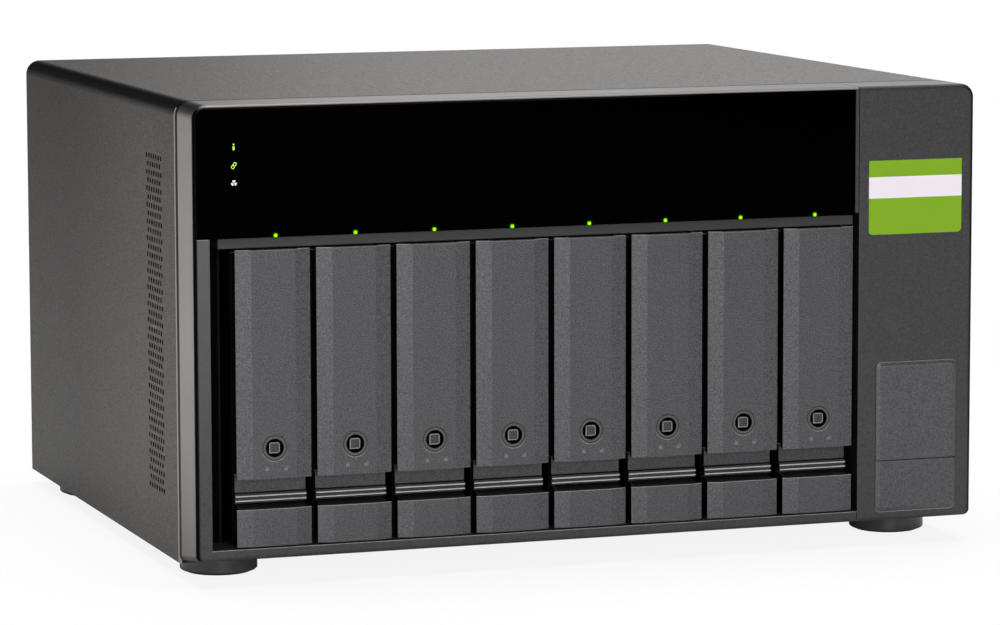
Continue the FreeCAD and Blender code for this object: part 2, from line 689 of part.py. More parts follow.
def rear_holes(d0, d1):
    """Cutters for the screws, the supply's rear face, the host port, the selector and the lock slot."""
    holes = [rod_y(hx, hz, FAN_HOLE_RADIUS, d0, d1) for x in FAN_X for hx, hz in fan_holes(x)]
    holes += [rod_y(x, THUMB_Z, THUMB_SHANK_RADIUS, d0, d1) for x in thumb_places()]
    inlet_x = INLET_HALF_WIDTH + INLET_FLANGE + FIT_GAP
    inlet_top = INLET_Z + INLET_HALF_HEIGHT + INLET_FLANGE + FIT_GAP
    holes.append(block(PSU_MID_X - inlet_x, PSU_MID_X + inlet_x, d0, d1, PSU_SLOT_Z - FIT_GAP, inlet_top))
    holes.append(usb_outline(PORT_X, FIT_GAP, d0, d1))
    knob = SELECTOR_HALF + FIT_GAP
    holes.append(block(PORT_X - knob, PORT_X + knob, d0, d1,
                       SELECTOR_Z - knob, SELECTOR_Z + knob + SELECTOR_TRAVEL))
    holes.append(block(PSU_MID_X - LOCK_SLOT_WIDTH / 2, PSU_MID_X + LOCK_SLOT_WIDTH / 2, d0, d1,
                       LOCK_SLOT_Z, LOCK_SLOT_Z + LOCK_SLOT_HEIGHT))
    return holes


def usb_outline(x, gap, d0, d1):
    """Rounded upright slot with the outline of the host port, grown by a gap."""
    half_x = USB_THICK / 2 + gap
    half_z = USB_WIDTH / 2 + gap
    slot = block(x - half_x, x + half_x, d0, d1, USB_Z - half_z, USB_Z + half_z)
    return rounded(slot, half_x - USB_FLAT / 2, Y_AXIS)


# ---------------------------------------------------------------- drive cage
def cage_plates():
    """Floor and roof of the cage, each with one guide rib for each tray."""
    plates = []
    for sign in (-1, 1):
        inner = BAY_MID + sign * CAGE_PLATE_INNER
        rib_end = BAY_MID + sign * (RUNNER_OUTER - GROOVE_DEPTH + RIB_GAP)
        z0, z1 = sorted((inner, inner + sign * SHEET))
        pieces = [block(CAGE_LEFT, CAGE_RIGHT, CAGE_FRONT, CAGE_BACK, z0, z1)]
        r0, r1 = sorted((inner, rib_end))
        pieces += [block(x - RIB_WIDTH / 2, x + RIB_WIDTH / 2, CAGE_FRONT, BACKPLANE_DEPTH - FIT_GAP, r0, r1)
                   for x in TRAY_X]
        plates.append(fused(pieces))
    return Part.makeCompound(plates)


def cage_sides():
    """Two upright sheets that stand on the floor pan and carry the cage plates and the backplane."""
    sides = []
    for x0, x1, tab in ((CAGE_LEFT - SHEET, CAGE_LEFT, 1), (CAGE_RIGHT, CAGE_RIGHT + SHEET, -1)):
        wall = block(x0, x1, BEZEL_DEPTH + FIT_GAP, CAGE_BACK, PAN_TOP, CAGE_WALL_TOP)
        nose = block(x0, x1, CAGE_FRONT, BEZEL_DEPTH + FIT_GAP, BAY_MID - CAGE_PLATE_INNER - SHEET,
                     BAY_MID + CAGE_PLATE_INNER + SHEET)
        fold = x1 if tab > 0 else x0
        t0, t1 = sorted((fold, fold + tab * CAGE_FLANGE))
        back = BACKPLANE_DEPTH + BOARD_THICK
        flange = block(t0, t1, back, back + SHEET, BAY_MID - CAGE_PLATE_INNER, BAY_MID + CAGE_PLATE_INNER)
        sides.append(fused([wall, nose, flange]))
    return Part.makeCompound(sides)


def backplane_board():
    """Board across the back of the cage, with an air window beside each connector."""
    half = CAGE_PLATE_INNER
    board = block(CAGE_LEFT, CAGE_RIGHT, BACKPLANE_DEPTH, BACKPLANE_DEPTH + BOARD_THICK,
                  BAY_MID - half, BAY_MID + half)
    reach = half - BOARD_WINDOW_MARGIN
    for x in TRAY_X:
        mid = x + BOARD_WINDOW_SHIFT
        board = board.cut(block(mid - BOARD_WINDOW_WIDTH / 2, mid + BOARD_WINDOW_WIDTH / 2,
                                BACKPLANE_DEPTH - OVER, BACKPLANE_DEPTH + BOARD_THICK + OVER,
                                BAY_MID - reach, BAY_MID + reach))
    return board


def drive_connectors():
    """One slotted drive connector for each tray, on the front of the backplane."""
    front = BACKPLANE_DEPTH - CONNECTOR_LENGTH
    slot_reach = CONNECTOR_HALF_LENGTH - CONNECTOR_END
    pieces = []
    for x in TRAY_X:
        mid = x + CONNECTOR_SHIFT
        body = block(mid - CONNECTOR_THICK / 2, mid + CONNECTOR_THICK / 2, front, BACKPLANE_DEPTH,
                     BAY_MID - CONNECTOR_HALF_LENGTH, BAY_MID + CONNECTOR_HALF_LENGTH)
        slot = block(mid - CONNECTOR_SLOT / 2, mid + CONNECTOR_SLOT / 2,
                     front - OVER, front + CONNECTOR_SLOT_DEPTH, BAY_MID - slot_reach, BAY_MID + slot_reach)
        pieces.append(body.cut(slot))
    return Part.makeCompound(pieces)


# ---------------------------------------------------------------- trays
def facet_profile(back):
    """(x, depth) outline of a tray front: a middle flat between two slanting facets, over a narrower body."""
    half = TRAY_WIDTH / 2
    body = TRAY_BODY_HALF
    return [(-half, FACET_DEPTH), (-half + FACET_WIDTH, 0), (half - FACET_WIDTH, 0), (half, FACET_DEPTH),
            (half, RIM_DEPTH), (body, RIM_DEPTH), (body, back),
            (-body, back), (-body, RIM_DEPTH), (-half, RIM_DEPTH)]


def shifted(shape, x):
    """Copy of a shape moved along X."""
    copy = shape.copy()
    copy.translate(V(x, 0, 0))
    return copy


def handle_shell():
    """Faceted front of the lever, hollow behind, its top back edge cut off to swing clear of the plate."""
    half = TRAY_WIDTH / 2
    inner = TRAY_BODY_HALF - HANDLE_WALL
    flat = half - FACET_WIDTH
    inside = FACET_DEPTH + HANDLE_WALL
    side = [(-OVER, HANDLE_BOTTOM), (-OVER, HANDLE_TOP - HANDLE_CHAMFER - OVER),
            (0, HANDLE_TOP - HANDLE_CHAMFER), (HANDLE_CHAMFER, HANDLE_TOP),
            (HANDLE_THICK - HANDLE_BACK_CHAMFER, HANDLE_TOP),
            (HANDLE_THICK, HANDLE_TOP - HANDLE_BACK_CHAMFER), (HANDLE_THICK, HANDLE_BOTTOM)]
    cavity = prism_z([(-inner, inside), (-flat, HANDLE_WALL), (flat, HANDLE_WALL), (inner, inside),
                      (inner, HANDLE_THICK + OVER), (-inner, HANDLE_THICK + OVER)],
                     HANDLE_BOTTOM + HANDLE_WALL, HANDLE_TOP - HANDLE_WALL)
    body = prism_z(facet_profile(HANDLE_THICK), HANDLE_BOTTOM, HANDLE_TOP)
    return body.common(prism_x(side, -half, half)).cut(cavity)


def ejector_tooth():
    """Tooth behind the top of the handle, with its upper corner sloped."""
    root = HANDLE_THICK - HANDLE_WALL
    tip = HANDLE_THICK + TOOTH_REACH
    high = HANDLE_TOP - TOOTH_HIGH
    low = HANDLE_TOP - TOOTH_LOW
    return prism_x([(root, low), (tip, low), (tip, high - TOOTH_BEVEL), (HANDLE_THICK, high), (root, high)],
                   -TOOTH_HALF, TOOTH_HALF)


def tray_handle():
    """Lever front, hinged on a cross pin near its top, with a boss for the lock plug and a tongue below."""
    boss_half = LOCK_RADIUS + LOCK_BOSS_WALL
    boss = block(-boss_half, boss_half, HANDLE_WALL / 2, LOCK_LENGTH, LOCK_Z - boss_half, LOCK_Z + boss_half)
    tongue = block(-CATCH_HALF, CATCH_HALF, HANDLE_THICK, HANDLE_THICK + TONGUE_THICK, TONGUE_BOTTOM,
                   HANDLE_BOTTOM + HANDLE_WALL)
    body = fused([handle_shell(), boss, tongue, ejector_tooth()])
    slot_half = EAR_THICK / 2 + FIT_GAP
    for x in (-EAR_SPREAD, EAR_SPREAD):
        body = body.cut(block(x - slot_half, x + slot_half, HANDLE_WALL, HANDLE_THICK + OVER,
                              PIVOT_Z - EAR_RADIUS - FIT_GAP, HANDLE_TOP + OVER))
    pin_half = TRAY_BODY_HALF - HANDLE_WALL / 2
    body = fused([body, rod_x(-pin_half, pin_half, PIVOT_DEPTH, PIVOT_Z, PIN_RADIUS)])
    return body.cut(rod_y(0, LOCK_Z, LOCK_RADIUS + LOCK_CLEAR, -OVER, LOCK_LENGTH + OVER))


def tray_lock():
    """Round lock plug, dished in front around a square key peg, with a cam arm behind."""
    plug = rod_y(0, LOCK_Z, LOCK_RADIUS, 0, LOCK_LENGTH)
    plug = plug.cut(rod_y(0, LOCK_Z, LOCK_RECESS_RADIUS, -OVER, LOCK_RECESS_DEPTH))
    peg_front = LOCK_RECESS_DEPTH - PEG_RISE
    peg = block(-PEG_HALF, PEG_HALF, peg_front, (LOCK_RECESS_DEPTH + LOCK_LENGTH) / 2,
                LOCK_Z - PEG_HALF, LOCK_Z + PEG_HALF)
    peg = rounded(peg, PEG_CORNER, Y_AXIS, lambda m: m.x > 0 or m.z > LOCK_Z)
    dish_half = PEG_HALF - PEG_STEP
    peg = peg.cut(block(-dish_half, dish_half, peg_front - OVER, peg_front + PEG_STEP_RISE,
                        LOCK_Z - dish_half, LOCK_Z + dish_half))
    cam = block(-CAM_WIDTH / 2, CAM_LENGTH, LOCK_LENGTH, LOCK_LENGTH + CAM_THICK,
                LOCK_Z - CAM_WIDTH / 2, LOCK_Z + CAM_WIDTH / 2)
    return fused([plug, peg, cam])


def catch_profile():
    """(depth, z) outline of the catch bar, with its ridges on the front."""
    crest = CATCH_FRONT - RIDGE_RISE
    points = [(CATCH_BACK, CATCH_BOTTOM), (CATCH_FRONT, CATCH_BOTTOM)]
    for ridge in range(RIDGE_COUNT):
        z = CATCH_BOTTOM + RIDGE_INSET + ridge * RIDGE_PITCH
        points += [(CATCH_FRONT, z), (crest, z + RIDGE_HALF / 2), (crest, z + RIDGE_HALF),
                   (CATCH_FRONT, z + 2 * RIDGE_HALF)]
    return points + [(CATCH_FRONT, CATCH_TOP), (CATCH_BACK, CATCH_TOP)]


def tray_catch():
    """Ridged bar in the finger recess, pressed inwards against its spring to free the handle."""
    bar = prism_x(catch_profile(), -CATCH_HALF, CATCH_HALF)
    stem = block(-CATCH_STEM_HALF, CATCH_STEM_HALF, CATCH_BACK, CATCH_STEM_BACK,
                 CATCH_MID - CATCH_STEM_THICK / 2, CATCH_MID + CATCH_STEM_THICK / 2)
    return fused([bar, stem])


def tray_nose():
    """Fixed lower front of the tray, with the concave ledge of the finger recess on top."""
    left = -TRAY_WIDTH / 2
    body = prism_z(facet_profile(PLATE_FRONT), TRAY_BOTTOM, NOSE_LEDGE)
    scoop_low = V(left, at(NOSE_LEDGE_DEPTH / 2), (NOSE_TOP + NOSE_LEDGE) / 2 - SCOOP_DIP)
    front = V(left, at(0), NOSE_TOP)
    back = V(left, at(NOSE_LEDGE_DEPTH), NOSE_LEDGE)
    corners = [back, V(left, at(PLATE_FRONT), NOSE_LEDGE), V(left, at(PLATE_FRONT), TRAY_BOTTOM),
               V(left, at(0), TRAY_BOTTOM), front]
    lines = [Part.makeLine(a, b) for a, b in zip(corners, corners[1:])]
    outline = Part.Wire([Part.Arc(front, scoop_low, back).toShape()] + lines)
    return body.common(Part.Face(outline).extrude(V(TRAY_WIDTH, 0, 0)))


def runner_profile():
    """(x, z) outline of the tray's channel: a side wall and two grooved runners."""
    half = RUNNER_WIDTH / 2
    groove = RIB_WIDTH / 2 + RIB_GAP
    low = [(half, -RUNNER_INNER), (half, -RUNNER_OUTER), (groove, -RUNNER_OUTER),
           (groove, -RUNNER_OUTER + GROOVE_DEPTH), (-groove, -RUNNER_OUTER + GROOVE_DEPTH),
           (-groove, -RUNNER_OUTER), (-half, -RUNNER_OUTER)]
    high = [(x, -z) for x, z in reversed(low)]
    inner = [(-half + CARRIER_WALL, RUNNER_INNER), (-half + CARRIER_WALL, -RUNNER_INNER)]
    return [(x, z + BAY_MID) for x, z in low + high + inner]


def cut_corner_window(x0, x1, d0, d1, z0, z1):
    """Eight-sided window through a side wall."""
    c = WINDOW_CORNER
    return prism_x([(d0 + c, z0), (d1 - c, z0), (d1, z0 + c), (d1, z1 - c),
                    (d1 - c, z1), (d0 + c, z1), (d0, z1 - c), (d0, z0 + c)], x0, x1)


def carrier_windows():
    """Two air windows in the tray's side wall."""
    x0 = -RUNNER_WIDTH / 2 - OVER
    x1 = -RUNNER_WIDTH / 2 + CARRIER_WALL + OVER
    d_first = PLATE_FRONT + PLATE_THICK + WINDOW_MARGIN
    d_last = PLATE_FRONT + PLATE_THICK + CARRIER_LENGTH - WINDOW_MARGIN
    reach = SMALL_DRIVE_PITCH_Z / 2 - SMALL_DRIVE_HOLE - WINDOW_HOLE_EDGE
    width = (d_last - d_first - WINDOW_BRIDGE) / 2
    windows = []
    for k in range(2):
        d0 = d_first + k * (width + WINDOW_BRIDGE)
        windows.append(cut_corner_window(x0, x1, d0, d0 + width, BAY_MID - reach, BAY_MID + reach))
    return windows


def carrier_plate():
    """Front plate of the tray body, with air slots and windows for the catch stem and the ejector tooth."""
    half = RUNNER_WIDTH / 2
    back = PLATE_FRONT + PLATE_THICK
    top = BAY_MID + RUNNER_OUTER
    plate = block(-half, half, PLATE_FRONT, back, TRAY_BOTTOM, top)
    stem_x = CATCH_STEM_HALF + CATCH_WINDOW_GAP
    stem_z = CATCH_STEM_THICK / 2 + CATCH_WINDOW_GAP
    tooth_x = TOOTH_HALF + TOOTH_SIDE_GAP
    windows = [(-stem_x, stem_x, CATCH_MID - stem_z, CATCH_MID + stem_z),
               (-tooth_x, tooth_x, PIVOT_Z - TOOTH_SWING, top + OVER)]
    windows += [(x - PLATE_SLOT_HALF, x + PLATE_SLOT_HALF, PLATE_SLOT_BOTTOM, PLATE_SLOT_TOP)
                for x in (-PLATE_SLOT_SPREAD, PLATE_SLOT_SPREAD)]
    for x0, x1, z0, z1 in windows:
        plate = plate.cut(block(x0, x1, PLATE_FRONT - OVER, back + OVER, z0, z1))
    return plate


def hinge_ears():
    """Two ears that stand out from the front plate and carry the handle's pin."""
    ears = []
    for x in (-EAR_SPREAD, EAR_SPREAD):
        x0 = x - EAR_THICK / 2
        x1 = x + EAR_THICK / 2
        ears.append(block(x0, x1, PIVOT_DEPTH, PLATE_FRONT, PIVOT_Z - EAR_RADIUS, PIVOT_Z + EAR_RADIUS))
        ears.append(rod_x(x0, x1, PIVOT_DEPTH, PIVOT_Z, EAR_RADIUS))
    return ears


def tray_carrier():
    """Tray body: channel with grooved runners, front plate with hinge ears, and the fixed nose."""
    half = RUNNER_WIDTH / 2
    channel_front = PLATE_FRONT + PLATE_THICK
    tooth_x = TOOTH_HALF + TOOTH_SIDE_GAP
    channel = prism_y(runner_profile(), channel_front, channel_front + CARRIER_LENGTH)
    for window in carrier_windows():
        channel = channel.cut(window)
    channel = channel.cut(block(-tooth_x, tooth_x, PLATE_FRONT, channel_front + TOOTH_REACH,
                                BAY_MID + RUNNER_INNER, BAY_MID + RUNNER_OUTER + OVER))
    body = fused([channel, carrier_plate(), tray_nose()] + hinge_ears())
    body = body.cut(rod_x(-half, half, PIVOT_DEPTH, PIVOT_Z, PIN_RADIUS + PIN_CLEAR))
    for depth, z in small_drive_holes():
        body = body.cut(rod_x(-half - OVER, -half + CARRIER_WALL + OVER, depth, z, SMALL_DRIVE_HOLE))
    return body


def small_drive_holes():
    """(depth, z) of the four screw holes for a small drive in the tray's side wall."""
    back = PLATE_FRONT + PLATE_THICK + CARRIER_LENGTH - SMALL_DRIVE_BACK
    return [(depth, BAY_MID + side * SMALL_DRIVE_PITCH_Z / 2)
            for depth in (back, back - SMALL_DRIVE_PITCH_Y) for side in (-1, 1)]


# ---------------------------------------------------------------- fans
def fan_holes(x):
    """(x, z) of the four screw holes of one fan."""
    half = FAN_HOLE_PITCH / 2
    return [(x + a * half, FAN_Z + b * half) for a in (-1, 1) for b in (-1, 1)]


def fan_frame(x):
    """Square fan housing with its round bore, cross struts and the motor seat with its axle."""
    half = FAN_SIZE / 2
    back = REAR_SHEET_FRONT
    front = back - FAN_THICK
    body = rounded(block(x - half, x + half, front, back, FAN_Z - half, FAN_Z + half), FAN_CORNER, Y_AXIS)
    pocket = block(x - half - OVER, x - half + FAN_WAIST, front + FAN_FLANGE, back - FAN_FLANGE,
                   FAN_Z - FAN_WAIST_HALF, FAN_Z + FAN_WAIST_HALF)
    for angle in (0, 90, 180, 270):
        turned = pocket.copy()
        turned.rotate(V(x, 0, FAN_Z), Y_AXIS, angle)
        body = body.cut(turned)
    body = body.cut(rod_y(x, FAN_Z, FAN_BORE, front - OVER, back + OVER))
    for hx, hz in fan_holes(x):
        body = body.cut(rod_y(hx, hz, FAN_HOLE_RADIUS, front - OVER, back + OVER))
    strut_d = back - FAN_STRUT_THICK
    strut = FAN_STRUT_WIDTH / 2
    reach = FAN_BORE + FAN_STRUT_SINK
    struts = [block(x - reach, x + reach, strut_d, back, FAN_Z - strut, FAN_Z + strut),
              block(x - strut, x + strut, strut_d, back, FAN_Z - reach, FAN_Z + reach),
              rod_y(x, FAN_Z, FAN_HUB_RADIUS, strut_d, back),
              rod_y(x, FAN_Z, FAN_AXLE_RADIUS, strut_d - FAN_AXLE_BORE_DEPTH + FIT_GAP, strut_d)]
    return fused([body] + struts)


def blade_section(radius, chord):
    """Thin slanting section of a blade, square to the radius."""
    pitch = math.radians(BLADE_PITCH)
    run = math.cos(pitch) * chord / 2
    rise = math.sin(pitch) * chord / 2
    nx = math.sin(pitch) * BLADE_THICK / 2
    ny = math.cos(pitch) * BLADE_THICK / 2
    points = [V(-run - nx, -rise + ny, radius), V(run - nx, rise + ny, radius),
              V(run + nx, rise - ny, radius), V(-run + nx, -rise - ny, radius)]
    return Part.makePolygon(points + points[:1])


def fan_rotor(x):
    """Hub and pitched blades on a bore that runs on the motor seat's axle."""
    hub_back = REAR_SHEET_FRONT - FAN_STRUT_THICK - FIT_GAP
    hub_front = hub_back - FAN_HUB_LENGTH
    hub = rod_y(x, FAN_Z, FAN_HUB_RADIUS, hub_front, hub_back)
    hub = hub.makeChamfer(FAN_HUB_BEVEL, front_edges(hub, hub_front))
    blade = Part.makeLoft([blade_section(FAN_HUB_RADIUS - BLADE_ROOT_SINK, BLADE_ROOT_CHORD),
                           blade_section(BLADE_TIP, BLADE_TIP_CHORD)], True, True)
    blade.translate(V(x, at((hub_front + hub_back) / 2), FAN_Z))
    pieces = [hub]
    for k in range(BLADE_COUNT):
        copy = blade.copy()
        copy.rotate(V(x, 0, FAN_Z), Y_AXIS, k * 360.0 / BLADE_COUNT)
        pieces.append(copy)
    bore = rod_y(x, FAN_Z, FAN_AXLE_RADIUS + FAN_AXLE_CLEAR, hub_back - FAN_AXLE_BORE_DEPTH, hub_back + OVER)
    return fused(pieces).cut(bore)


# ---------------------------------------------------------------- electronics
def control_board():
    """Upright board beside the cage on four standoffs, with its bridge chips."""
    x0 = CONTROL_X
    x1 = CONTROL_X + BOARD_THICK
    back = REAR_SHEET_FRONT - FIT_GAP
    mid_z = (CONTROL_BOTTOM + CONTROL_TOP) / 2
    selector_mid = SELECTOR_Z + SELECTOR_TRAVEL / 2
    pieces = [block(x0, x1, CONTROL_FRONT, back, CONTROL_BOTTOM, CONTROL_TOP)]
    for d in (CONTROL_FRONT + STANDOFF_INSET, CAGE_BACK - STANDOFF_INSET):
        for z in (CONTROL_BOTTOM + STANDOFF_INSET, CONTROL_TOP - STANDOFF_INSET):
            pieces.append(rod_x(CAGE_RIGHT + SHEET, x0, d, z, STANDOFF_RADIUS))
    for chip in range(CHIP_COUNT):
        d = CONTROL_FRONT + (chip + 1) * CHIP_PITCH
        pieces.append(block(x1, x1 + CHIP_THICK, d, d + CHIP_SIZE,
                            mid_z - CHIP_SIZE / 2, mid_z + CHIP_SIZE / 2))
    pieces.append(block(x1, PORT_X + SELECTOR_BODY_HALF_X, back - SELECTOR_BODY_DEPTH, back - 2 * FIT_GAP,
                        selector_mid - SELECTOR_BODY_HALF_Z, selector_mid + SELECTOR_BODY_HALF_Z))
    return fused(pieces)


def usb_port():
    """Host port: a rounded metal shell around a thin tongue."""
    x = PORT_X
    back = REAR_SHEET_BACK
    front = back - USB_LENGTH
    shell = usb_outline(x, 0, front, back).cut(usb_outline(x, -USB_WALL, front + 2 * USB_WALL, back + OVER))
    tongue = block(x - USB_TONGUE / 2, x + USB_TONGUE / 2, front + USB_WALL, back - 2 * USB_WALL,
                   USB_Z - USB_WIDTH / 4, USB_Z + USB_WIDTH / 4)
    return fused([shell, tongue])


def power_supply():
    """Supply housing with its intake, rear slots and the pockets for inlet and switch."""
    back = REAR_SHEET_FRONT
    body = block(PSU_LEFT, PSU_RIGHT, PSU_FRONT, back, PAN_TOP, PSU_TOP)
    mid_z = (PAN_TOP + PSU_TOP) / 2
    body = body.cut(rod_y(PSU_MID_X, mid_z, PSU_FAN_RADIUS, PSU_FRONT - OVER, PSU_FRONT + PSU_FAN_DEPTH))
    inlet_x = INLET_HALF_WIDTH + FIT_GAP
    inlet_z = INLET_HALF_HEIGHT + FIT_GAP
    body = body.cut(block(PSU_MID_X - inlet_x, PSU_MID_X + inlet_x, back - INLET_DEPTH - FIT_GAP, back + OVER,
                          INLET_Z - inlet_z, INLET_Z + inlet_z))
    pocket_x = SWITCH_HALF_WIDTH + FIT_GAP
    pocket_z = SWITCH_HALF_HEIGHT + SWITCH_END_GAP
    body = body.cut(block(PSU_MID_X - pocket_x, PSU_MID_X + pocket_x, back - SWITCH_POCKET_DEPTH, back + OVER,
                          SWITCH_Z - pocket_z, SWITCH_Z + pocket_z))
    pin_reach = SWITCH_HALF_WIDTH + SWITCH_PIN_REACH + FIT_GAP
    body = body.cut(rod_x(PSU_MID_X - pin_reach, PSU_MID_X + pin_reach, back - SWITCH_PIVOT_DEPTH, SWITCH_Z,
                          SWITCH_PIN_RADIUS + PIN_CLEAR))
    first = PSU_MID_X - (PSU_SLOT_COUNT - 1) * PSU_SLOT_PITCH / 2
    for k in range(PSU_SLOT_COUNT):
        x = first + k * PSU_SLOT_PITCH
        body = body.cut(block(x - PSU_SLOT_WIDTH / 2, x + PSU_SLOT_WIDTH / 2,
                              back - PSU_SLOT_DEPTH, back + OVER, PSU_SLOT_Z, PSU_SLOT_Z + PSU_SLOT_HEIGHT))
    return body


def inlet_outline(half_x, half_z, corner, d0, d1):
    """Six-sided mains socket outline with its two lower corners cut off."""
    x = PSU_MID_X
    z = INLET_Z
    return prism_y([(x - half_x, z + half_z), (x + half_x, z + half_z), (x + half_x, z - half_z + corner),
                    (x + half_x - corner, z - half_z), (x - half_x + corner, z - half_z),
                    (x - half_x, z - half_z + corner)], d0, d1)


def ac_inlet():
    """Mains inlet: flanged body, six-sided cavity and three flat pins."""
    back = REAR_SHEET_FRONT
    outside = back + INLET_FLANGE_THICK
    floor = outside - INLET_CAVITY_DEPTH
    flange_x = INLET_HALF_WIDTH + INLET_FLANGE
    flange_z = INLET_HALF_HEIGHT + INLET_FLANGE
    flange = block(PSU_MID_X - flange_x, PSU_MID_X + flange_x, back, outside,
                   INLET_Z - flange_z, INLET_Z + flange_z)
    flange = rounded(flange, INLET_FLANGE, Y_AXIS)
    body = block(PSU_MID_X - INLET_HALF_WIDTH, PSU_MID_X + INLET_HALF_WIDTH, back - INLET_DEPTH, back,
                 INLET_Z - INLET_HALF_HEIGHT, INLET_Z + INLET_HALF_HEIGHT)
    cavity = inlet_outline(INLET_CAVITY_HALF_WIDTH, INLET_CAVITY_HALF_HEIGHT, INLET_CORNER,
                           floor, outside + OVER)
    body = fused([flange, body]).cut(cavity)
    pins = []
    for k in (-1, 0, 1):
        z = INLET_Z + (PIN_BLADE_OFFSET if k == 0 else -PIN_BLADE_OFFSET)
        x = PSU_MID_X + k * PIN_BLADE_SPREAD
        pins.append(block(x - PIN_BLADE_HALF_WIDTH, x + PIN_BLADE_HALF_WIDTH, floor - FIT_GAP,
                          floor + PIN_BLADE_LENGTH, z - PIN_BLADE_HALF_HEIGHT, z + PIN_BLADE_HALF_HEIGHT))
    return fused([body] + pins)


def power_switch():
    """Rocker on a cross pin, tipped to one side at rest."""
    back = REAR_SHEET_FRONT
    pivot = back - SWITCH_PIVOT_DEPTH
    end = SWITCH_HALF_HEIGHT - SWITCH_END_GAP
    profile = [(back + SWITCH_RISE, SWITCH_Z - end), (back, SWITCH_Z), (back + SWITCH_RISE, SWITCH_Z + end),
               (pivot, SWITCH_Z + end), (pivot - SWITCH_RISE, SWITCH_Z), (pivot, SWITCH_Z - end)]
    rocker = prism_x(profile, PSU_MID_X - SWITCH_HALF_WIDTH, PSU_MID_X + SWITCH_HALF_WIDTH)
    pin_reach = SWITCH_HALF_WIDTH + SWITCH_PIN_REACH
    pin = rod_x(PSU_MID_X - pin_reach, PSU_MID_X + pin_reach, pivot, SWITCH_Z, SWITCH_PIN_RADIUS)
    rocker = fused([rocker, pin])
    rocker.rotate(V(PSU_MID_X, at(pivot), SWITCH_Z), X_AXIS, SWITCH_TILT)
    return rocker


def fan_selector():
    """Small slide knob that stands through its slot in the back sheet."""
    return block(PORT_X - SELECTOR_HALF, PORT_X + SELECTOR_HALF, REAR_SHEET_FRONT - FIT_GAP,
                 REAR_SHEET_BACK + SELECTOR_REACH, SELECTOR_Z - SELECTOR_HALF, SELECTOR_Z + SELECTOR_HALF)


# ---------------------------------------------------------------- feet and screws
def foot_places():
    """(x, depth) of the four feet."""
    return [(sign * FOOT_X, d) for sign in (-1, 1) for d in (FOOT_FRONT, FOOT_BACK)]


def feet():
    """Four round feet with a broken lower edge, each standing on its pad."""
    pieces = []
    for x, d in foot_places():
        foot = rod_z(x, d, FOOT_RADIUS, PAD_THICK, COVER_BOTTOM)
        low = [e for e in foot.Edges if e.BoundBox.ZMax < PAD_THICK + TOLERANCE]
        pieces.append(foot.makeChamfer(FOOT_EDGE, low))
    return Part.makeCompound(pieces)


def foot_pads():
    """Rubber discs under the feet."""
    return Part.makeCompound([rod_z(x, d, PAD_RADIUS, 0, PAD_THICK) for x, d in foot_places()])


def thumb_places():
    """X of the thumb screws along the top of the back sheet."""
    half = INNER_WIDTH_HALF - THUMB_INSET
    return [-half, 0.0, half]


def rear_screw(x, z, radius, height, shank_radius):
    """Screw with a flat head outside the back sheet."""
    head = rod_y(x, z, radius, REAR_SHEET_BACK, REAR_SHEET_BACK + height)
    return fused([head, rod_y(x, z, shank_radius, REAR_SHEET_BACK - THUMB_SHANK, REAR_SHEET_BACK)])


def thumb_screw(x):
    """Slotted thumb screw through the back sheet."""
    outside = REAR_SHEET_BACK + THUMB_LENGTH
    screw = rear_screw(x, THUMB_Z, THUMB_RADIUS, THUMB_LENGTH, THUMB_SHANK_RADIUS - PIN_CLEAR)
    return screw.cut(block(x - THUMB_RADIUS, x + THUMB_RADIUS, outside - THUMB_SLOT_DEPTH, outside + OVER,
                           THUMB_Z - THUMB_SLOT / 2, THUMB_Z + THUMB_SLOT / 2))


def chassis_screws():
    """Thumb screws and the flat heads of the fan screws."""
    pieces = [thumb_screw(x) for x in thumb_places()]
    pieces += [rear_screw(hx, hz, FAN_SCREW_RADIUS, FAN_SCREW_HEAD, FAN_HOLE_RADIUS - PIN_CLEAR)
               for x in FAN_X for hx, hz in fan_holes(x)]
    return Part.makeCompound(pieces)


# ---------------------------------------------------------------- writing the pieces
def main():
    os.makedirs("parts", exist_ok=True)
    write("bezel_frame", bezel_frame())
    write("bezel_pillar", bezel_pillar())
    write("fascia_panel", fascia_panel())
    write("header_bar", header_bar())
    write("indicator_lenses", indicator_lenses())
    write("insert_lower", insert_plate(INSERT_BOTTOM, INSERT_SPLIT - INSERT_SPLIT_GAP / 2))
    write("insert_upper", insert_plate(INSERT_SPLIT + INSERT_SPLIT_GAP / 2, INSERT_TOP))
    write("info_label", info_label())
    write("top_cover", top_cover())
    write("base_pan", base_pan())
    write("rear_panel", rear_panel())
    write("cage_plates", cage_plates())
    write("cage_sides", cage_sides())
    write("backplane_board", backplane_board())
    write("drive_connectors", drive_connectors())
    write("control_board", control_board())
    write("usb_port", usb_port())
    write("power_supply", power_supply())
    write("ac_inlet", ac_inlet())
    write("power_switch", power_switch())
    write("fan_selector", fan_selector())
    write("fan_frames", Part.makeCompound([fan_frame(x) for x in FAN_X]))
    write("fan_rotor_left", fan_rotor(FAN_X[0]))
    write("fan_rotor_right", fan_rotor(FAN_X[1]))
    write("feet", feet())
    write("foot_pads", foot_pads())
    write("chassis_screws", chassis_screws())
    carrier = tray_carrier()
    handle = tray_handle()
    lock = tray_lock()
    catch = tray_catch()
    for number, x in enumerate(TRAY_X, 1):
        write("tray_carrier_%d" % number, shifted(carrier, x))
        write("tray_handle_%d" % number, shifted(handle, x))
        write("tray_lock_%d" % number, shifted(lock, x))
        write("tray_catch_%d" % number, shifted(catch, x))


main()
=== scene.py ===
"""Desktop disk enclosure with eight upright drive trays: the finish of every piece, its marks and the studio.

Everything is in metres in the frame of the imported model: +X to the right of someone facing the front,
-Y towards them, +Z up. Small sizes are written in millimetres and turned to metres by MM.
"""
import math

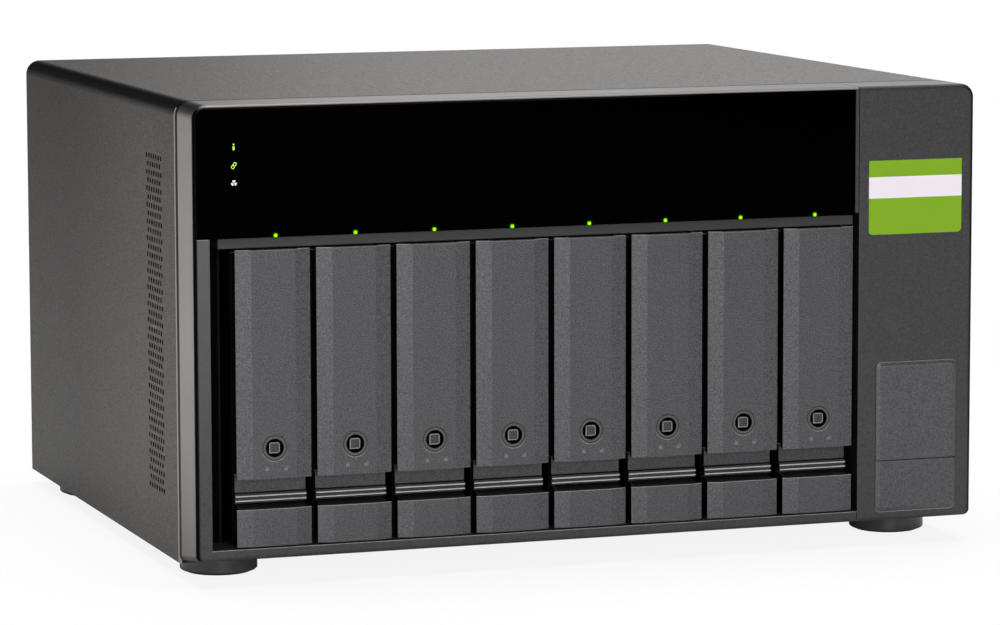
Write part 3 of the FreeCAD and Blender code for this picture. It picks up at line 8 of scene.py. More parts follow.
import bmesh
import bpy
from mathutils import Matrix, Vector


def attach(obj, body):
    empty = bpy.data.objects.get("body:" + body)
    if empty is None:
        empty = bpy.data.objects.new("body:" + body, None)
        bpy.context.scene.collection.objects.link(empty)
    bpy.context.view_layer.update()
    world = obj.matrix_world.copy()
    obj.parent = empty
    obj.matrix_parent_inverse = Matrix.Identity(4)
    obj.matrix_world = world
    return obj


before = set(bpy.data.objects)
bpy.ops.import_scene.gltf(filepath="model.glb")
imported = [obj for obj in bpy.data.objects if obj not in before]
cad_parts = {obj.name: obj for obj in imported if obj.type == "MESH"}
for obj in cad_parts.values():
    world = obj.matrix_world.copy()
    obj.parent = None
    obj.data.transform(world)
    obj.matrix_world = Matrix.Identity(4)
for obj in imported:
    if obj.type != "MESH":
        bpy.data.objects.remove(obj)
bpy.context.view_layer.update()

MM = 0.001


# ---------------------------------------------------------------- camera
# A long lens set left of the front and a little above it, as a catalogue picture of a desktop unit is taken.
# It comes first because every finish below is judged through it.
CAMERA_PLACE = (-0.61145, -1.77646, 0.31840)
CAMERA_TURN = (82.925, 0.122, -19.251)
CAMERA_LENS = 159.66

camera = bpy.data.objects.new("camera", bpy.data.cameras.new("camera"))
bpy.context.scene.collection.objects.link(camera)
camera.location = CAMERA_PLACE
camera.rotation_euler = [math.radians(angle) for angle in CAMERA_TURN]
camera.data.lens = CAMERA_LENS
camera.data.sensor_width = 36
bpy.context.scene.camera = camera


# ---------------------------------------------------------------- folded cover and rear sheet
# Cold-rolled steel 1 mm thick, folded and powder coated in a dark warm grey. The baked powder leaves a fine
# sandy texture that breaks up every highlight, drawn coarser than it is so that it shows. The sides are painted
# lighter towards the front as painted light, the folds get painted shade and are duller, the walls of the vents
# get painted shade, and a painted highlight runs along the front lip.
COVER_LIGHT = "#2A2725"
COVER_DARK = "#191716"
COVER_PAINTED_LIT_LIGHT = "#524E4B"
COVER_PAINTED_LIT_DARK = "#413E3C"
COVER_SIDE_LIGHT_FADE = (50.0, -60.0)
COVER_SIDE_GLOSS = (0.22, 0.38)
COVER_TOP_GLOSS = (0.2, 0.85)
COVER_GLOSS_GRAIN = (0.38, 0.62)
COVER_FOLD_GLOSS = 0.15
COVER_SHEEN = "#FFF3EE"
COVER_FOLD_SHADE = "#0B0B0B"
COVER_LIP_HIGHLIGHT = "#A8A4A1"
# Near black for painted shade in vents, corners, gaps, seams and holes.
PAINTED_SHADE = "#020202"
COVER_SPREAD = 0.13
COVER_GRAIN = 0.65
ROLLED_STRETCH = 2.4
COVER_GRAIN_DEPTH = 0.05
COVER_EDGE = 0.5
COVER_LIP = 1.7
VENT_HEIGHTS = (28.0, 168.0)
SHEET = 1.0


def linear(hex_colour):
    """An sRGB hex colour as linear red, green, blue and full alpha."""
    channels = [int(hex_colour[i:i + 2], 16) / 255 for i in (1, 3, 5)]
    return [c / 12.92 if c <= 0.04045 else ((c + 0.055) / 1.055) ** 2.4 for c in channels] + [1.0]


def new_material(name):
    """An empty node material."""
    material = bpy.data.materials.new(name)
    material.use_nodes = True
    material.node_tree.nodes.clear()
    return material


def add_node(material, kind, inputs, **settings):
    """Adds one shader node; an input given as a socket is linked, and anything else is set on it."""
    tree = material.node_tree
    made = tree.nodes.new(kind)
    for name, value in settings.items():
        setattr(made, name, value)
    for key, value in inputs.items():
        if isinstance(value, bpy.types.NodeSocket):
            tree.links.new(value, made.inputs[key])
        else:
            made.inputs[key].default_value = value
    return made


def surface(material, **inputs):
    """Ends a material with a principled shader on its output; names use _ for a space."""
    named = {key.replace("_", " "): value for key, value in inputs.items()}
    shader = add_node(material, "ShaderNodeBsdfPrincipled", named)
    add_node(material, "ShaderNodeOutputMaterial", {"Surface": shader.outputs[0]})
    return material


def grain(material, size, detail=2.0, stretch=1.0):
    """Noise with features of this many millimetres, drawn out along Y by the stretch, in the piece's own place."""
    place = add_node(material, "ShaderNodeTexCoord", {}).outputs["Object"]
    drawn = add_node(material, "ShaderNodeMapping", {"Vector": place, "Scale": (1.0, 1 / stretch, 1.0)})
    made = add_node(material, "ShaderNodeTexNoise", {"Vector": drawn.outputs[0], "Scale": 1 / (size * MM),
                                                     "Detail": detail})
    return made.outputs["Fac"]


def raised(material, height, depth, edge):
    """Normal of a surface with this relief, and with its edges rounded by a radius, both in millimetres."""
    rounding = add_node(material, "ShaderNodeBevel", {"Radius": edge * MM}, samples=4)
    bump = add_node(material, "ShaderNodeBump", {"Height": height, "Distance": depth * MM,
                                                 "Normal": rounding.outputs["Normal"]})
    return bump.outputs["Normal"]


def blend(material, amount, low, high, spread=0.2):
    """Colour between two hex colours, by an amount that lies around 0.5 within the spread, as noise gives it."""
    ramp = add_node(material, "ShaderNodeValToRGB", {"Fac": amount})
    ramp.color_ramp.elements[0].position = 0.5 - spread
    ramp.color_ramp.elements[0].color = linear(low)
    ramp.color_ramp.elements[1].position = 0.5 + spread
    ramp.color_ramp.elements[1].color = linear(high)
    return ramp.outputs["Color"]


def step_of(material, operation, first, second=0.0):
    """One step of arithmetic between two sockets or numbers."""
    return add_node(material, "ShaderNodeMath", {0: first, 1: second}, operation=operation).outputs[0]


def climb(material, value, start, end, low=0.0, high=1.0):
    """Goes from low to high while the value goes from start to end, and stays level outside them."""
    return add_node(material, "ShaderNodeMapRange", {"Value": value, "From Min": start, "From Max": end,
                                                     "To Min": low, "To Max": high}).outputs[0]


def mix(material, amount, first, second):
    """Colour from the first to the second, each a hex colour or a socket, as the amount goes from 0 to 1."""
    ends = [linear(end) if isinstance(end, str) else end for end in (first, second)]
    mixer = add_node(material, "ShaderNodeMix", {"Factor": amount, 6: ends[0], 7: ends[1]}, data_type="RGBA")
    return mixer.outputs[2]


def axes(material, kind):
    """X, Y and Z of the place ("Object") or of the outward direction ("Normal"), both in the piece's own frame."""
    source = add_node(material, "ShaderNodeTexCoord", {}).outputs[kind]
    return tuple(add_node(material, "ShaderNodeSeparateXYZ", {"Vector": source}).outputs)


def both(material, *amounts):
    """Product of several amounts: 1 only where each of them is 1."""
    product = amounts[0]
    for amount in amounts[1:]:
        product = step_of(material, "MULTIPLY", product, amount)
    return product


def rounding_between(material, first, second):
    """1 in the middle of a rounded edge between two directions, and 0 on the flats beside it."""
    product = step_of(material, "ABSOLUTE", both(material, first, second))
    return climb(material, product, 0.0, 0.4)


def along_axis(material, direction):
    """1 where a face looks along an axis or against it."""
    return climb(material, step_of(material, "ABSOLUTE", direction), 0.9, 0.97)


def upper_edge(material, radius):
    """1 along the upper edge of an upright face, over a width in millimetres."""
    rounded = add_node(material, "ShaderNodeBevel", {"Radius": radius * MM}, samples=6).outputs["Normal"]
    lifted = add_node(material, "ShaderNodeSeparateXYZ", {"Vector": rounded}).outputs["Z"]
    true_normal = add_node(material, "ShaderNodeNewGeometry", {}).outputs["Normal"]
    level = add_node(material, "ShaderNodeSeparateXYZ", {"Vector": true_normal}).outputs["Z"]
    return climb(material, step_of(material, "SUBTRACT", lifted, level), 0.1, 0.5)


def reach(name, axis):
    """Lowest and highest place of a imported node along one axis, in metres."""
    places = [corner[axis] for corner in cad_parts[name].bound_box]
    return min(places), max(places)


def dress(material, *nodes):
    """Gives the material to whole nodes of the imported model."""
    for name in nodes:
        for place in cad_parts[name].material_slots:
            place.material = material


left_side, right_side = reach("top_cover", 0)
cover_front = reach("top_cover", 1)[0]
powder_coat = new_material("powder_coated_steel")
powder_grain = grain(powder_coat, COVER_GRAIN, stretch=ROLLED_STRETCH)
coat_x, coat_y, coat_z = axes(powder_coat, "Object")
to_side, to_front, to_top = axes(powder_coat, "Normal")
# Painted shade: the rounded folds between side and top are drawn near black, and duller.
fold_shade = rounding_between(powder_coat, to_side, to_top)
# Painted highlight: a light line along the front lip of the cover.
lip_highlight = both(powder_coat, step_of(powder_coat, "LESS_THAN", coat_y, cover_front + COVER_LIP * MM),
           step_of(powder_coat, "LESS_THAN", coat_x, left_side + SHEET * MM))
# Painted shade: the walls of the side vents are drawn near black.
vent_wall_shade = both(powder_coat, step_of(powder_coat, "LESS_THAN", coat_x, left_side + SHEET * MM),
                 step_of(powder_coat, "GREATER_THAN", coat_z, VENT_HEIGHTS[0] * MM),
                 step_of(powder_coat, "LESS_THAN", coat_z, VENT_HEIGHTS[1] * MM),
                 step_of(powder_coat, "LESS_THAN", step_of(powder_coat, "ABSOLUTE", to_side), 0.5))
powder = blend(powder_coat, powder_grain, COVER_DARK, COVER_LIGHT, COVER_SPREAD)
# Painted light: the sides are drawn lighter towards the front, with a lit copy of the powder colour.
powder_painted_lit = blend(powder_coat, powder_grain, COVER_PAINTED_LIT_DARK, COVER_PAINTED_LIT_LIGHT, COVER_SPREAD)
painted_flank_light = both(powder_coat, along_axis(powder_coat, to_side),
             climb(powder_coat, coat_y, COVER_SIDE_LIGHT_FADE[0] * MM, COVER_SIDE_LIGHT_FADE[1] * MM))
powder = mix(powder_coat, painted_flank_light, powder, powder_painted_lit)
powder = mix(powder_coat, fold_shade, powder, COVER_FOLD_SHADE)
powder = mix(powder_coat, lip_highlight, powder, COVER_LIP_HIGHLIGHT)
powder = mix(powder_coat, vent_wall_shade, powder, PAINTED_SHADE)
lying = along_axis(powder_coat, to_top)
dull, bright = [climb(powder_coat, lying, 0.0, 1.0, side, top)
                for side, top in zip(COVER_SIDE_GLOSS, COVER_TOP_GLOSS)]
gloss = both(powder_coat, climb(powder_coat, powder_grain, *COVER_GLOSS_GRAIN, dull, bright),
             climb(powder_coat, fold_shade, 0.0, 1.0, 1.0, COVER_FOLD_GLOSS))
surface(powder_coat, Base_Color=powder, Roughness=0.5, IOR=1.5, Specular_IOR_Level=gloss,
        Specular_Tint=linear(COVER_SHEEN), Normal=raised(powder_coat, powder_grain, COVER_GRAIN_DEPTH, COVER_EDGE))
dress(powder_coat, "top_cover", "rear_panel")


# ---------------------------------------------------------------- moulded front frame and pillar
# ABS mouldings from a spark-eroded tool, whose fine grain, drawn coarser so that it shows, gives a satin face
# without a mirror in it. The frame wraps the cover's front edge, and the pillar is a part of its own beside the
# tray opening. Painted shade darkens the seams, the rounded and inner corners, the strip under the cover's front
# and the jamb's inner faces. Painted light makes the flank lighter upwards, the top strip lighter on the left and
# the left jamb's face lighter upwards, and painted highlights line the upper edges and the top crest.
FRONT_LIGHT = "#39393A"
FRONT_DARK = "#252527"
FRONT_FLANK_PAINTED_LIGHT = ("#625D5B", "#978F8B")
FLANK_LIGHT_HEIGHTS = (5.0, 95.0)
FRONT_TOP_PAINTED_LIGHT = "#463E3B"
FRONT_CREST_HIGHLIGHT = "#7E7773"
FRONT_UPPER_HIGHLIGHT = "#C6C2BF"
FRONT_STEP = 3.4
JAMB_SHADE = "#1B1B1C"
JAMB_FACE_PAINTED_LIGHT = "#4E4E4F"
JOINT_LINE = 0.7
TOP_LIGHT_TO_SHADE = (-50.0, 100.0)
JAMB_WIDTH = 20.0
JAMB_LIGHT_FADE = (30.0, 140.0)
FRONT_GRAIN = 0.7
FRONT_GRAIN_DEPTH = 0.02
FRONT_EDGE = 0.5

front_abs = new_material("spark_textured_abs")
front_grain = grain(front_abs, FRONT_GRAIN)
front_x, front_y, front_z = axes(front_abs, "Object")
to_side, to_front, to_top = axes(front_abs, "Normal")
outside = step_of(front_abs, "GREATER_THAN", step_of(front_abs, "ABSOLUTE", front_x), right_side - SHEET * MM)
sideways = along_axis(front_abs, to_side)
moulded = blend(front_abs, front_grain, FRONT_DARK, FRONT_LIGHT)
frame_right, frame_top = reach("bezel_frame", 0)[1], reach("bezel_frame", 2)[1]
high = step_of(front_abs, "GREATER_THAN", front_z, frame_top - 2 * SHEET * MM)
upward = both(front_abs, along_axis(front_abs, to_top), high)
# Painted highlight: the rounded crest along the top front edge is drawn light.
crest_highlight = both(front_abs, high, climb(front_abs, to_top, 0.4, 0.55), climb(front_abs, to_top, 0.9, 0.95, 1.0, 0.0),
             step_of(front_abs, "LESS_THAN", front_x, frame_right + MM / 10))
# Painted light: the outer flank is drawn lighter upwards.
painted_flank_light = mix(front_abs, climb(front_abs, front_z, FLANK_LIGHT_HEIGHTS[0] * MM, FLANK_LIGHT_HEIGHTS[1] * MM), *FRONT_FLANK_PAINTED_LIGHT)
moulded = mix(front_abs, both(front_abs, sideways, outside), moulded, painted_flank_light)
# Painted light and shade: the top strip is drawn lighter on the left and fades to near black on the right.
top_light_to_shade = climb(front_abs, front_x, TOP_LIGHT_TO_SHADE[0] * MM, TOP_LIGHT_TO_SHADE[1] * MM)
top_painted_light_shade = mix(front_abs, top_light_to_shade, FRONT_TOP_PAINTED_LIGHT, PAINTED_SHADE)
moulded = mix(front_abs, upward, moulded, top_painted_light_shade)
moulded = mix(front_abs, crest_highlight, moulded, FRONT_CREST_HIGHLIGHT)
# Painted light: the front face of the left jamb is drawn lighter upwards.
jamb_face_light = both(front_abs, along_axis(front_abs, to_front),
                 step_of(front_abs, "LESS_THAN", front_x, left_side + JAMB_WIDTH * MM),
                 climb(front_abs, front_z, JAMB_LIGHT_FADE[0] * MM, JAMB_LIGHT_FADE[1] * MM))
moulded = mix(front_abs, jamb_face_light, moulded, JAMB_FACE_PAINTED_LIGHT)
# Painted highlight: a thin light line along the upper edges of upright faces.
moulded = mix(front_abs, upper_edge(front_abs, FRONT_EDGE), moulded, FRONT_UPPER_HIGHLIGHT)
# Painted shade: rounded upright corners, the strip tucked under the cover's front and inward-facing sides are
# drawn near black with little gloss.
corner = rounding_between(front_abs, to_side, to_front)
step = step_of(front_abs, "GREATER_THAN", front_y, cover_front - FRONT_STEP * MM)
shaded = step_of(front_abs, "MAXIMUM", step_of(front_abs, "MAXIMUM", corner, step),
                 both(front_abs, sideways, climb(front_abs, outside, 0.0, 1.0, 1.0, 0.0)))
# Painted shade: the rounded edge between the flank and the top is drawn near black.
moulded = mix(front_abs, rounding_between(front_abs, to_side, to_top), moulded, COVER_FOLD_SHADE)
moulded = mix(front_abs, shaded, moulded, PAINTED_SHADE)
# Painted shade: a dark line along the top seam between the frame and the pillar.
from_joint = step_of(front_abs, "ABSOLUTE", step_of(front_abs, "SUBTRACT", front_x, frame_right))
joint = both(front_abs, upward, step_of(front_abs, "LESS_THAN", from_joint, JOINT_LINE * MM))
moulded = mix(front_abs, joint, moulded, PAINTED_SHADE)
# Painted shade: the inner faces of the jamb beside the pillar are drawn dark.
jamb = both(front_abs, sideways, step_of(front_abs, "GREATER_THAN", front_x, frame_right - 2 * SHEET * MM),
            step_of(front_abs, "LESS_THAN", front_x, right_side - SHEET * MM))
moulded = mix(front_abs, jamb, moulded, JAMB_SHADE)
surface(front_abs, Base_Color=moulded, Roughness=0.42, IOR=1.5,
        Specular_IOR_Level=climb(front_abs, shaded, 0.0, 1.0, 0.5, 0.04),
        Normal=raised(front_abs, front_grain, FRONT_GRAIN_DEPTH, FRONT_EDGE))
dress(front_abs, "bezel_frame", "bezel_pillar")


# ---------------------------------------------------------------- fascia, tray lamps and status marks
# A smoked acrylic panel, gloss and almost black, over a plain header bar. A painted glow round each tray lamp
# stands for their light bleeding a little way into it. Three small polycarbonate lenses at its left end each
# carry one mark: power, link and fan.
FASCIA_BLACK = "#000000"
LAMP_FIRST = -132.03
LAMP_PITCH = 32.30
LAMP_HEIGHT = 137.2
LAMP_REACH = 0.75
LAMP_CORE = "#E8FF00"
LAMP_RIM = "#2ED800"
GLOW_GREEN = "#00A000"
GLOW_FALL = 2.2
GLOW_LEFT_END = -145.0
LENS_CORE = (0.35, 1.0)
LENS_FADE = (0.7, 1.35)
LENS_LEVELS = (1.3, 0.08)
WINDOWS_ABOVE = 150.0
HEADER_DARK = "#232324"
HEADER_LIGHT = "#2B2B2C"
HEADER_TOP_SHADE = "#101011"
MARK_GREEN = "#C4FF58"
MARK_WHITE = "#FFFFFF"
MARK_MOTTLE = 0.6
STATUS_PLACE = (-148.5, -139.55)
STATUS_HEIGHTS = (171.85, 164.7, 157.95)
POWER_DOT = (1.02, 0.01, 0.34)
POWER_STEM = (-0.42, 0.45, 0.4)
LINK_STEP = (0.36, 0.5)
LINK_REACH = 0.22
LINK_RADII = (0.68, 0.36)
LINK_TILT = 54
BLADE_RADII = (1.12, 0.24)
BLADE_TURNS = (90, 210, 330)
BLADE_OUTER = (-38, 38)
BLADE_INNER = (70, -10)
MARK_LEVELS = (0.8, 1.2)
MARK_THICK = 0.04
MARK_STEPS = 14
MARK_WELD = 0.001


def from_nearest(material, place, first, pitch):
    """Distance along X from the nearest of a row of evenly spaced places, in metres."""
    turns = step_of(material, "DIVIDE", step_of(material, "SUBTRACT", place, first * MM), pitch * MM)
    share = step_of(material, "SUBTRACT", step_of(material, "FRACT", step_of(material, "ADD", turns, 0.5)), 0.5)
    return step_of(material, "MULTIPLY", share, pitch * MM)


def radius_from(material, across, up):
    """Length of a flat arrow with these two sides."""
    square = step_of(material, "ADD", both(material, across, across), both(material, up, up))
    return step_of(material, "SQRT", square)


def lamp_distance(material):
    """Distance from the nearest tray lamp's middle as a share of its reach, and the X and Z it was made from."""
    x, _, z = axes(material, "Object")
    across = from_nearest(material, x, LAMP_FIRST, LAMP_PITCH)
    away = radius_from(material, across, step_of(material, "SUBTRACT", z, LAMP_HEIGHT * MM))
    return step_of(material, "DIVIDE", away, LAMP_REACH * MM), x, z


acrylic = new_material("smoked_gloss_acrylic")
away, across, up = lamp_distance(acrylic)
# Painted light: the panel glows green round each tray lamp, fading with distance.
fade = step_of(acrylic, "POWER", math.e, step_of(acrylic, "MULTIPLY", away, -GLOW_FALL))
lit_part = step_of(acrylic, "GREATER_THAN", across, GLOW_LEFT_END * MM)
surface(acrylic, Base_Color=linear(FASCIA_BLACK), Roughness=0.06, IOR=1.45, Specular_IOR_Level=0.01,
        Emission_Color=linear(GLOW_GREEN), Emission_Strength=step_of(acrylic, "MULTIPLY", fade, lit_part))
dress(acrylic, "fascia_panel")

lens = new_material("polycarbonate_lens")
away, across, up = lamp_distance(lens)
core = mix(lens, climb(lens, away, *LENS_CORE), LAMP_CORE, LAMP_RIM)
lit_below = step_of(lens, "LESS_THAN", up, WINDOWS_ABOVE * MM)
surface(lens, Base_Color=linear(FASCIA_BLACK), Roughness=0.2, IOR=1.58, Specular_IOR_Level=0.01,
        Emission_Color=core,
        Emission_Strength=both(lens, climb(lens, away, *LENS_FADE, *LENS_LEVELS), lit_below))
dress(lens, "indicator_lenses")

header_abs = new_material("header_bar_abs")
header_grain = grain(header_abs, FRONT_GRAIN)
header_low, header_high = reach("header_bar", 2)
# Painted shade: the bar is drawn darker towards its top, under the fascia's edge.
header_rise = climb(header_abs, axes(header_abs, "Object")[2], header_low, header_high)
header_colour = blend(header_abs, header_grain, HEADER_DARK, HEADER_LIGHT)
header_colour = mix(header_abs, header_rise, header_colour, HEADER_TOP_SHADE)
surface(header_abs, Base_Color=header_colour, Roughness=0.5, IOR=1.5,
        Normal=raised(header_abs, header_grain, FRONT_GRAIN_DEPTH, FRONT_EDGE))
dress(header_abs, "header_bar")


def arc(middle, radius, start, end):
    """Points along an arc in millimetres, between two angles in degrees."""
    turns = [math.radians(start + (end - start) * step / MARK_STEPS) for step in range(MARK_STEPS + 1)]
    return [(middle[0] + radius * math.cos(turn), middle[1] + radius * math.sin(turn)) for turn in turns]


def stadium(middle, reach, radius, tilt):
    """Closed outline with straight sides and round ends, turned by an angle in degrees."""
    shift = (reach * math.cos(math.radians(tilt)), reach * math.sin(math.radians(tilt)))
    ahead = arc((middle[0] + shift[0], middle[1] + shift[1]), radius, tilt - 90, tilt + 90)
    return ahead + arc((middle[0] - shift[0], middle[1] - shift[1]), radius, tilt + 90, tilt + 270)


def closed(outline):
    """The outline with its first point repeated at its end."""
    return outline + outline[:1]


def flat_mark(name, filled, bands, front, material, body):
    """Thin raised marks on a face square to Y: filled outlines, and bands between two outlines."""
    shape = bmesh.new()
    for outline in filled:
        shape.faces.new([shape.verts.new((x * MM, front * MM, z * MM)) for x, z in outline])
    for outer, inner in bands:
        rows = [[shape.verts.new((x * MM, front * MM, z * MM)) for x, z in outline] for outline in (outer, inner)]
        for near, far in zip(range(len(outer) - 1), range(1, len(outer))):
            shape.faces.new((rows[0][near], rows[0][far], rows[1][far], rows[1][near]))
    bmesh.ops.remove_doubles(shape, verts=list(shape.verts), dist=MARK_WELD * MM)
    made = bmesh.ops.extrude_face_region(shape, geom=list(shape.faces))
    lifted = [item for item in made["geom"] if isinstance(item, bmesh.types.BMVert)]
    bmesh.ops.translate(shape, verts=lifted, vec=(0.0, -MARK_THICK * MM, 0.0))
    bmesh.ops.recalc_face_normals(shape, faces=list(shape.faces))
    mesh = bpy.data.meshes.new(name)
    shape.to_mesh(mesh)
    shape.free()
    mesh.materials.append(material)
    mark = bpy.data.objects.new(name, mesh)
    bpy.context.scene.collection.objects.link(mark)
    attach(mark, body)


def lit_mark(name, colour):
    """Material of a mark that shines through its window, a little unevenly."""
    material = new_material(name)
    even = climb(material, grain(material, MARK_MOTTLE), 0.3, 0.7, *MARK_LEVELS)
    return surface(material, Base_Color=linear(FASCIA_BLACK), Roughness=0.3, Emission_Color=linear(colour),
                   Emission_Strength=even)


green_mark = lit_mark("green_status_mark", MARK_GREEN)
white_mark = lit_mark("white_status_mark", MARK_WHITE)
mark_x, mark_front = STATUS_PLACE
power_z, link_z, fan_z = STATUS_HEIGHTS
flat_mark("mark_power", [stadium((mark_x, power_z + POWER_DOT[0]), *POWER_DOT[1:], 0),
                         stadium((mark_x, power_z + POWER_STEM[0]), *POWER_STEM[1:], 90)],
          [], mark_front, green_mark, "chassis")
links = [(mark_x + way * LINK_STEP[0], link_z + way * LINK_STEP[1]) for way in (-1, 1)]
flat_mark("mark_link", [], [[closed(stadium(middle, LINK_REACH, radius, LINK_TILT)) for radius in LINK_RADII]
                            for middle in links], mark_front, green_mark, "chassis")
blades = [arc((mark_x, fan_z), BLADE_RADII[0], *[turn + angle for angle in BLADE_OUTER])
          + arc((mark_x, fan_z), BLADE_RADII[1], *[turn + angle for angle in BLADE_INNER])
          for turn in BLADE_TURNS]
flat_mark("mark_fan", blades, [], mark_front, white_mark, "chassis")


# ---------------------------------------------------------------- pillar covers and label
# Two flat covers close the lower pillar, moulded like it; the upper one has a painted highlight along its upper
# edges. Above them a printed vinyl label is stuck on, green above and below a white band, and bare of words.
INSERT_DARK = "#333336"
INSERT_LIGHT = "#545458"
INSERT_EDGE_HIGHLIGHT = "#A8A5A3"
LABEL_BAND_TOP = 151.4
LABEL_BAND_BOTTOM = 142.7
LABEL_GREEN = "#7DAA10"
LABEL_WHITE = "#EFE6EE"

cover_abs = new_material("pillar_cover_abs")
cover_grain = grain(cover_abs, FRONT_GRAIN)
above_joint = step_of(cover_abs, "GREATER_THAN", axes(cover_abs, "Object")[2], reach("insert_lower", 2)[1] + MM)
# Painted highlight: a light line along the upper edges of the upper cover.
cover_rim_highlight = both(cover_abs, above_joint, upper_edge(cover_abs, 2 * FRONT_EDGE))
cover_colour = blend(cover_abs, cover_grain, INSERT_DARK, INSERT_LIGHT)
cover_colour = mix(cover_abs, cover_rim_highlight, cover_colour, INSERT_EDGE_HIGHLIGHT)
surface(cover_abs, Base_Color=cover_colour, Roughness=0.42, IOR=1.5,
        Normal=raised(cover_abs, cover_grain, FRONT_GRAIN_DEPTH, FRONT_EDGE))
dress(cover_abs, "insert_upper", "insert_lower")

vinyl = new_material("printed_vinyl_film")
height = axes(vinyl, "Object")[2]
band = step_of(vinyl, "MULTIPLY", step_of(vinyl, "LESS_THAN", height, LABEL_BAND_TOP * MM),
              step_of(vinyl, "GREATER_THAN", height, LABEL_BAND_BOTTOM * MM))
surface(vinyl, Base_Color=mix(vinyl, band, LABEL_GREEN, LABEL_WHITE), Roughness=0.45, IOR=1.5,
        Specular_IOR_Level=0.3)
dress(vinyl, "info_label")


# ---------------------------------------------------------------- drive trays
# Each tray is a moulded ABS carrier with a hinged faceted handle, an acetal lock plug and a press catch. Their
# spark-eroded grain has more contrast than the front's and is drawn coarse enough to show. Painted shade darkens
# the side walls in the gaps, the recessed and deep faces, the scoop, the catch's lower faces and the keyway hole
# round a square peg; painted highlights line the upper edges, the catch's upper faces and ridges, and the peg's
# rim. Two small printed padlocks under the keyway show its closed and open turns.
TRAYS = range(1, 9)
TRAY_FIRST_X = -132.8625
TRAY_PITCH = 32.775
FACE_Y = -139.0
LOCK_HEIGHT = 54.1
KEYWAY_RADIUS = 3.66
KEYWAY_INNER = 3.0
KEYWAY_DEPTH = 1.0
RING_LINE = (4.6, 4.95)
PEG_RIM = 1.7
PEG_LINE = 0.22
PADLOCK_HEIGHT = 45.9
PADLOCK_CLOSED = (-3.1, 0.0)
PADLOCK_OPEN = (4.5, 0.55)
PADLOCK_CASE = (0.75, -0.75, 0.3)
SHACKLE_RADII = (0.62, 0.36)
PADLOCK_DARK = "#5A5A5C"
PADLOCK_LIGHT = "#7E7E80"
INK_GRAIN = 0.4
TRAY_DARK = "#29292C"
TRAY_LIGHT = "#57575B"
TRAY_EDGE = 0.4
TRAY_EDGE_HIGHLIGHT = "#C4C1BE"
TRAY_DEEP = 8.0
TRAY_RECESS = 3.0
TRAY_SHADE = "#060606"
SCOOP_SHADE = "#121213"
RIDGE_HIGHLIGHT = "#D2CECA"
RIDGE_TIP = 0.3
TRAY_SPREAD = 0.14
TRAY_GRAIN = 0.45
TRAY_GRAIN_DEPTH = 0.03
TRAY_ROUND = 0.2
TONGUE_SHADE_SHARE = 0.5
CATCH_DARK = "#1A1A1B"
CATCH_LIGHT = "#2C2C2E"
CATCH_UPPER_HIGHLIGHT = "#4C4B4A"
PEG_DARK = "#2A2A2C"
PEG_LIGHT = "#3A3A3C"
PEG_RIM_HIGHLIGHT = "#868686"
PEG_LINE_COLOUR = "#151515"
COLLAR_DARK = "#3F3B39"
COLLAR_LIGHT = "#5B5654"
RING_LINE_COLOUR = "#0A0A0A"
PLUG_RELIEF = (0.01, 0.15)

handle_abs = new_material("tray_handle_abs")
handle_grain = grain(handle_abs, TRAY_GRAIN)
handle_colour = blend(handle_abs, handle_grain, TRAY_DARK, TRAY_LIGHT, TRAY_SPREAD)
# Painted shade: the handle's side walls in the gaps between trays are drawn near black and lose their gloss.
handle_side_shade = along_axis(handle_abs, axes(handle_abs, "Normal")[0])
handle_colour = mix(handle_abs, handle_side_shade, handle_colour, PAINTED_SHADE)
# Painted shade: faces set back behind the handle's front are drawn half way to near black.
recess_shade = step_of(handle_abs, "GREATER_THAN", axes(handle_abs, "Object")[1], (FACE_Y + TRAY_RECESS) * MM)
handle_colour = mix(handle_abs, both(handle_abs, recess_shade, TONGUE_SHADE_SHARE), handle_colour, TRAY_SHADE)
# Painted highlight: a thin light line along the upper edges.
handle_colour = mix(handle_abs, upper_edge(handle_abs, TRAY_EDGE), handle_colour, TRAY_EDGE_HIGHLIGHT)
surface(handle_abs, Base_Color=handle_colour, Roughness=0.4, IOR=1.5,
        Specular_IOR_Level=climb(handle_abs, handle_side_shade, 0.0, 1.0, 0.5, 0.05),
        Normal=raised(handle_abs, handle_grain, TRAY_GRAIN_DEPTH, TRAY_ROUND))

carrier_abs = new_material("tray_carrier_abs")
carrier_grain = grain(carrier_abs, TRAY_GRAIN)
to_side, to_front, to_top = axes(carrier_abs, "Normal")
carrier_y = axes(carrier_abs, "Object")[1]
# Painted shade: side walls and faces deep behind the front are drawn near black, and the upward faces of the scoop
# dark.
scoop_shade = climb(carrier_abs, to_top, 0.2, 0.6)
hidden_shade = step_of(carrier_abs, "MAXIMUM", along_axis(carrier_abs, to_side),
                 step_of(carrier_abs, "GREATER_THAN", carrier_y, (FACE_Y + TRAY_DEEP) * MM))
carrier_colour = blend(carrier_abs, carrier_grain, TRAY_DARK, TRAY_LIGHT, TRAY_SPREAD)
carrier_colour = mix(carrier_abs, hidden_shade, carrier_colour, TRAY_SHADE)
carrier_colour = mix(carrier_abs, scoop_shade, carrier_colour, SCOOP_SHADE)
# Painted highlight: a thin light line along the upper edges.
carrier_colour = mix(carrier_abs, upper_edge(carrier_abs, TRAY_EDGE), carrier_colour, TRAY_EDGE_HIGHLIGHT)
surface(carrier_abs, Base_Color=carrier_colour, Roughness=0.4, IOR=1.5,
        Specular_IOR_Level=climb(carrier_abs, hidden_shade, 0.0, 1.0, 0.5, 0.08),
        Normal=raised(carrier_abs, carrier_grain, TRAY_GRAIN_DEPTH, TRAY_ROUND))

catch_abs = new_material("tray_catch_abs")
catch_grain = grain(catch_abs, TRAY_GRAIN)
catch_colour = blend(catch_abs, catch_grain, CATCH_DARK, CATCH_LIGHT, TRAY_SPREAD)
catch_rise = axes(catch_abs, "Normal")[2]
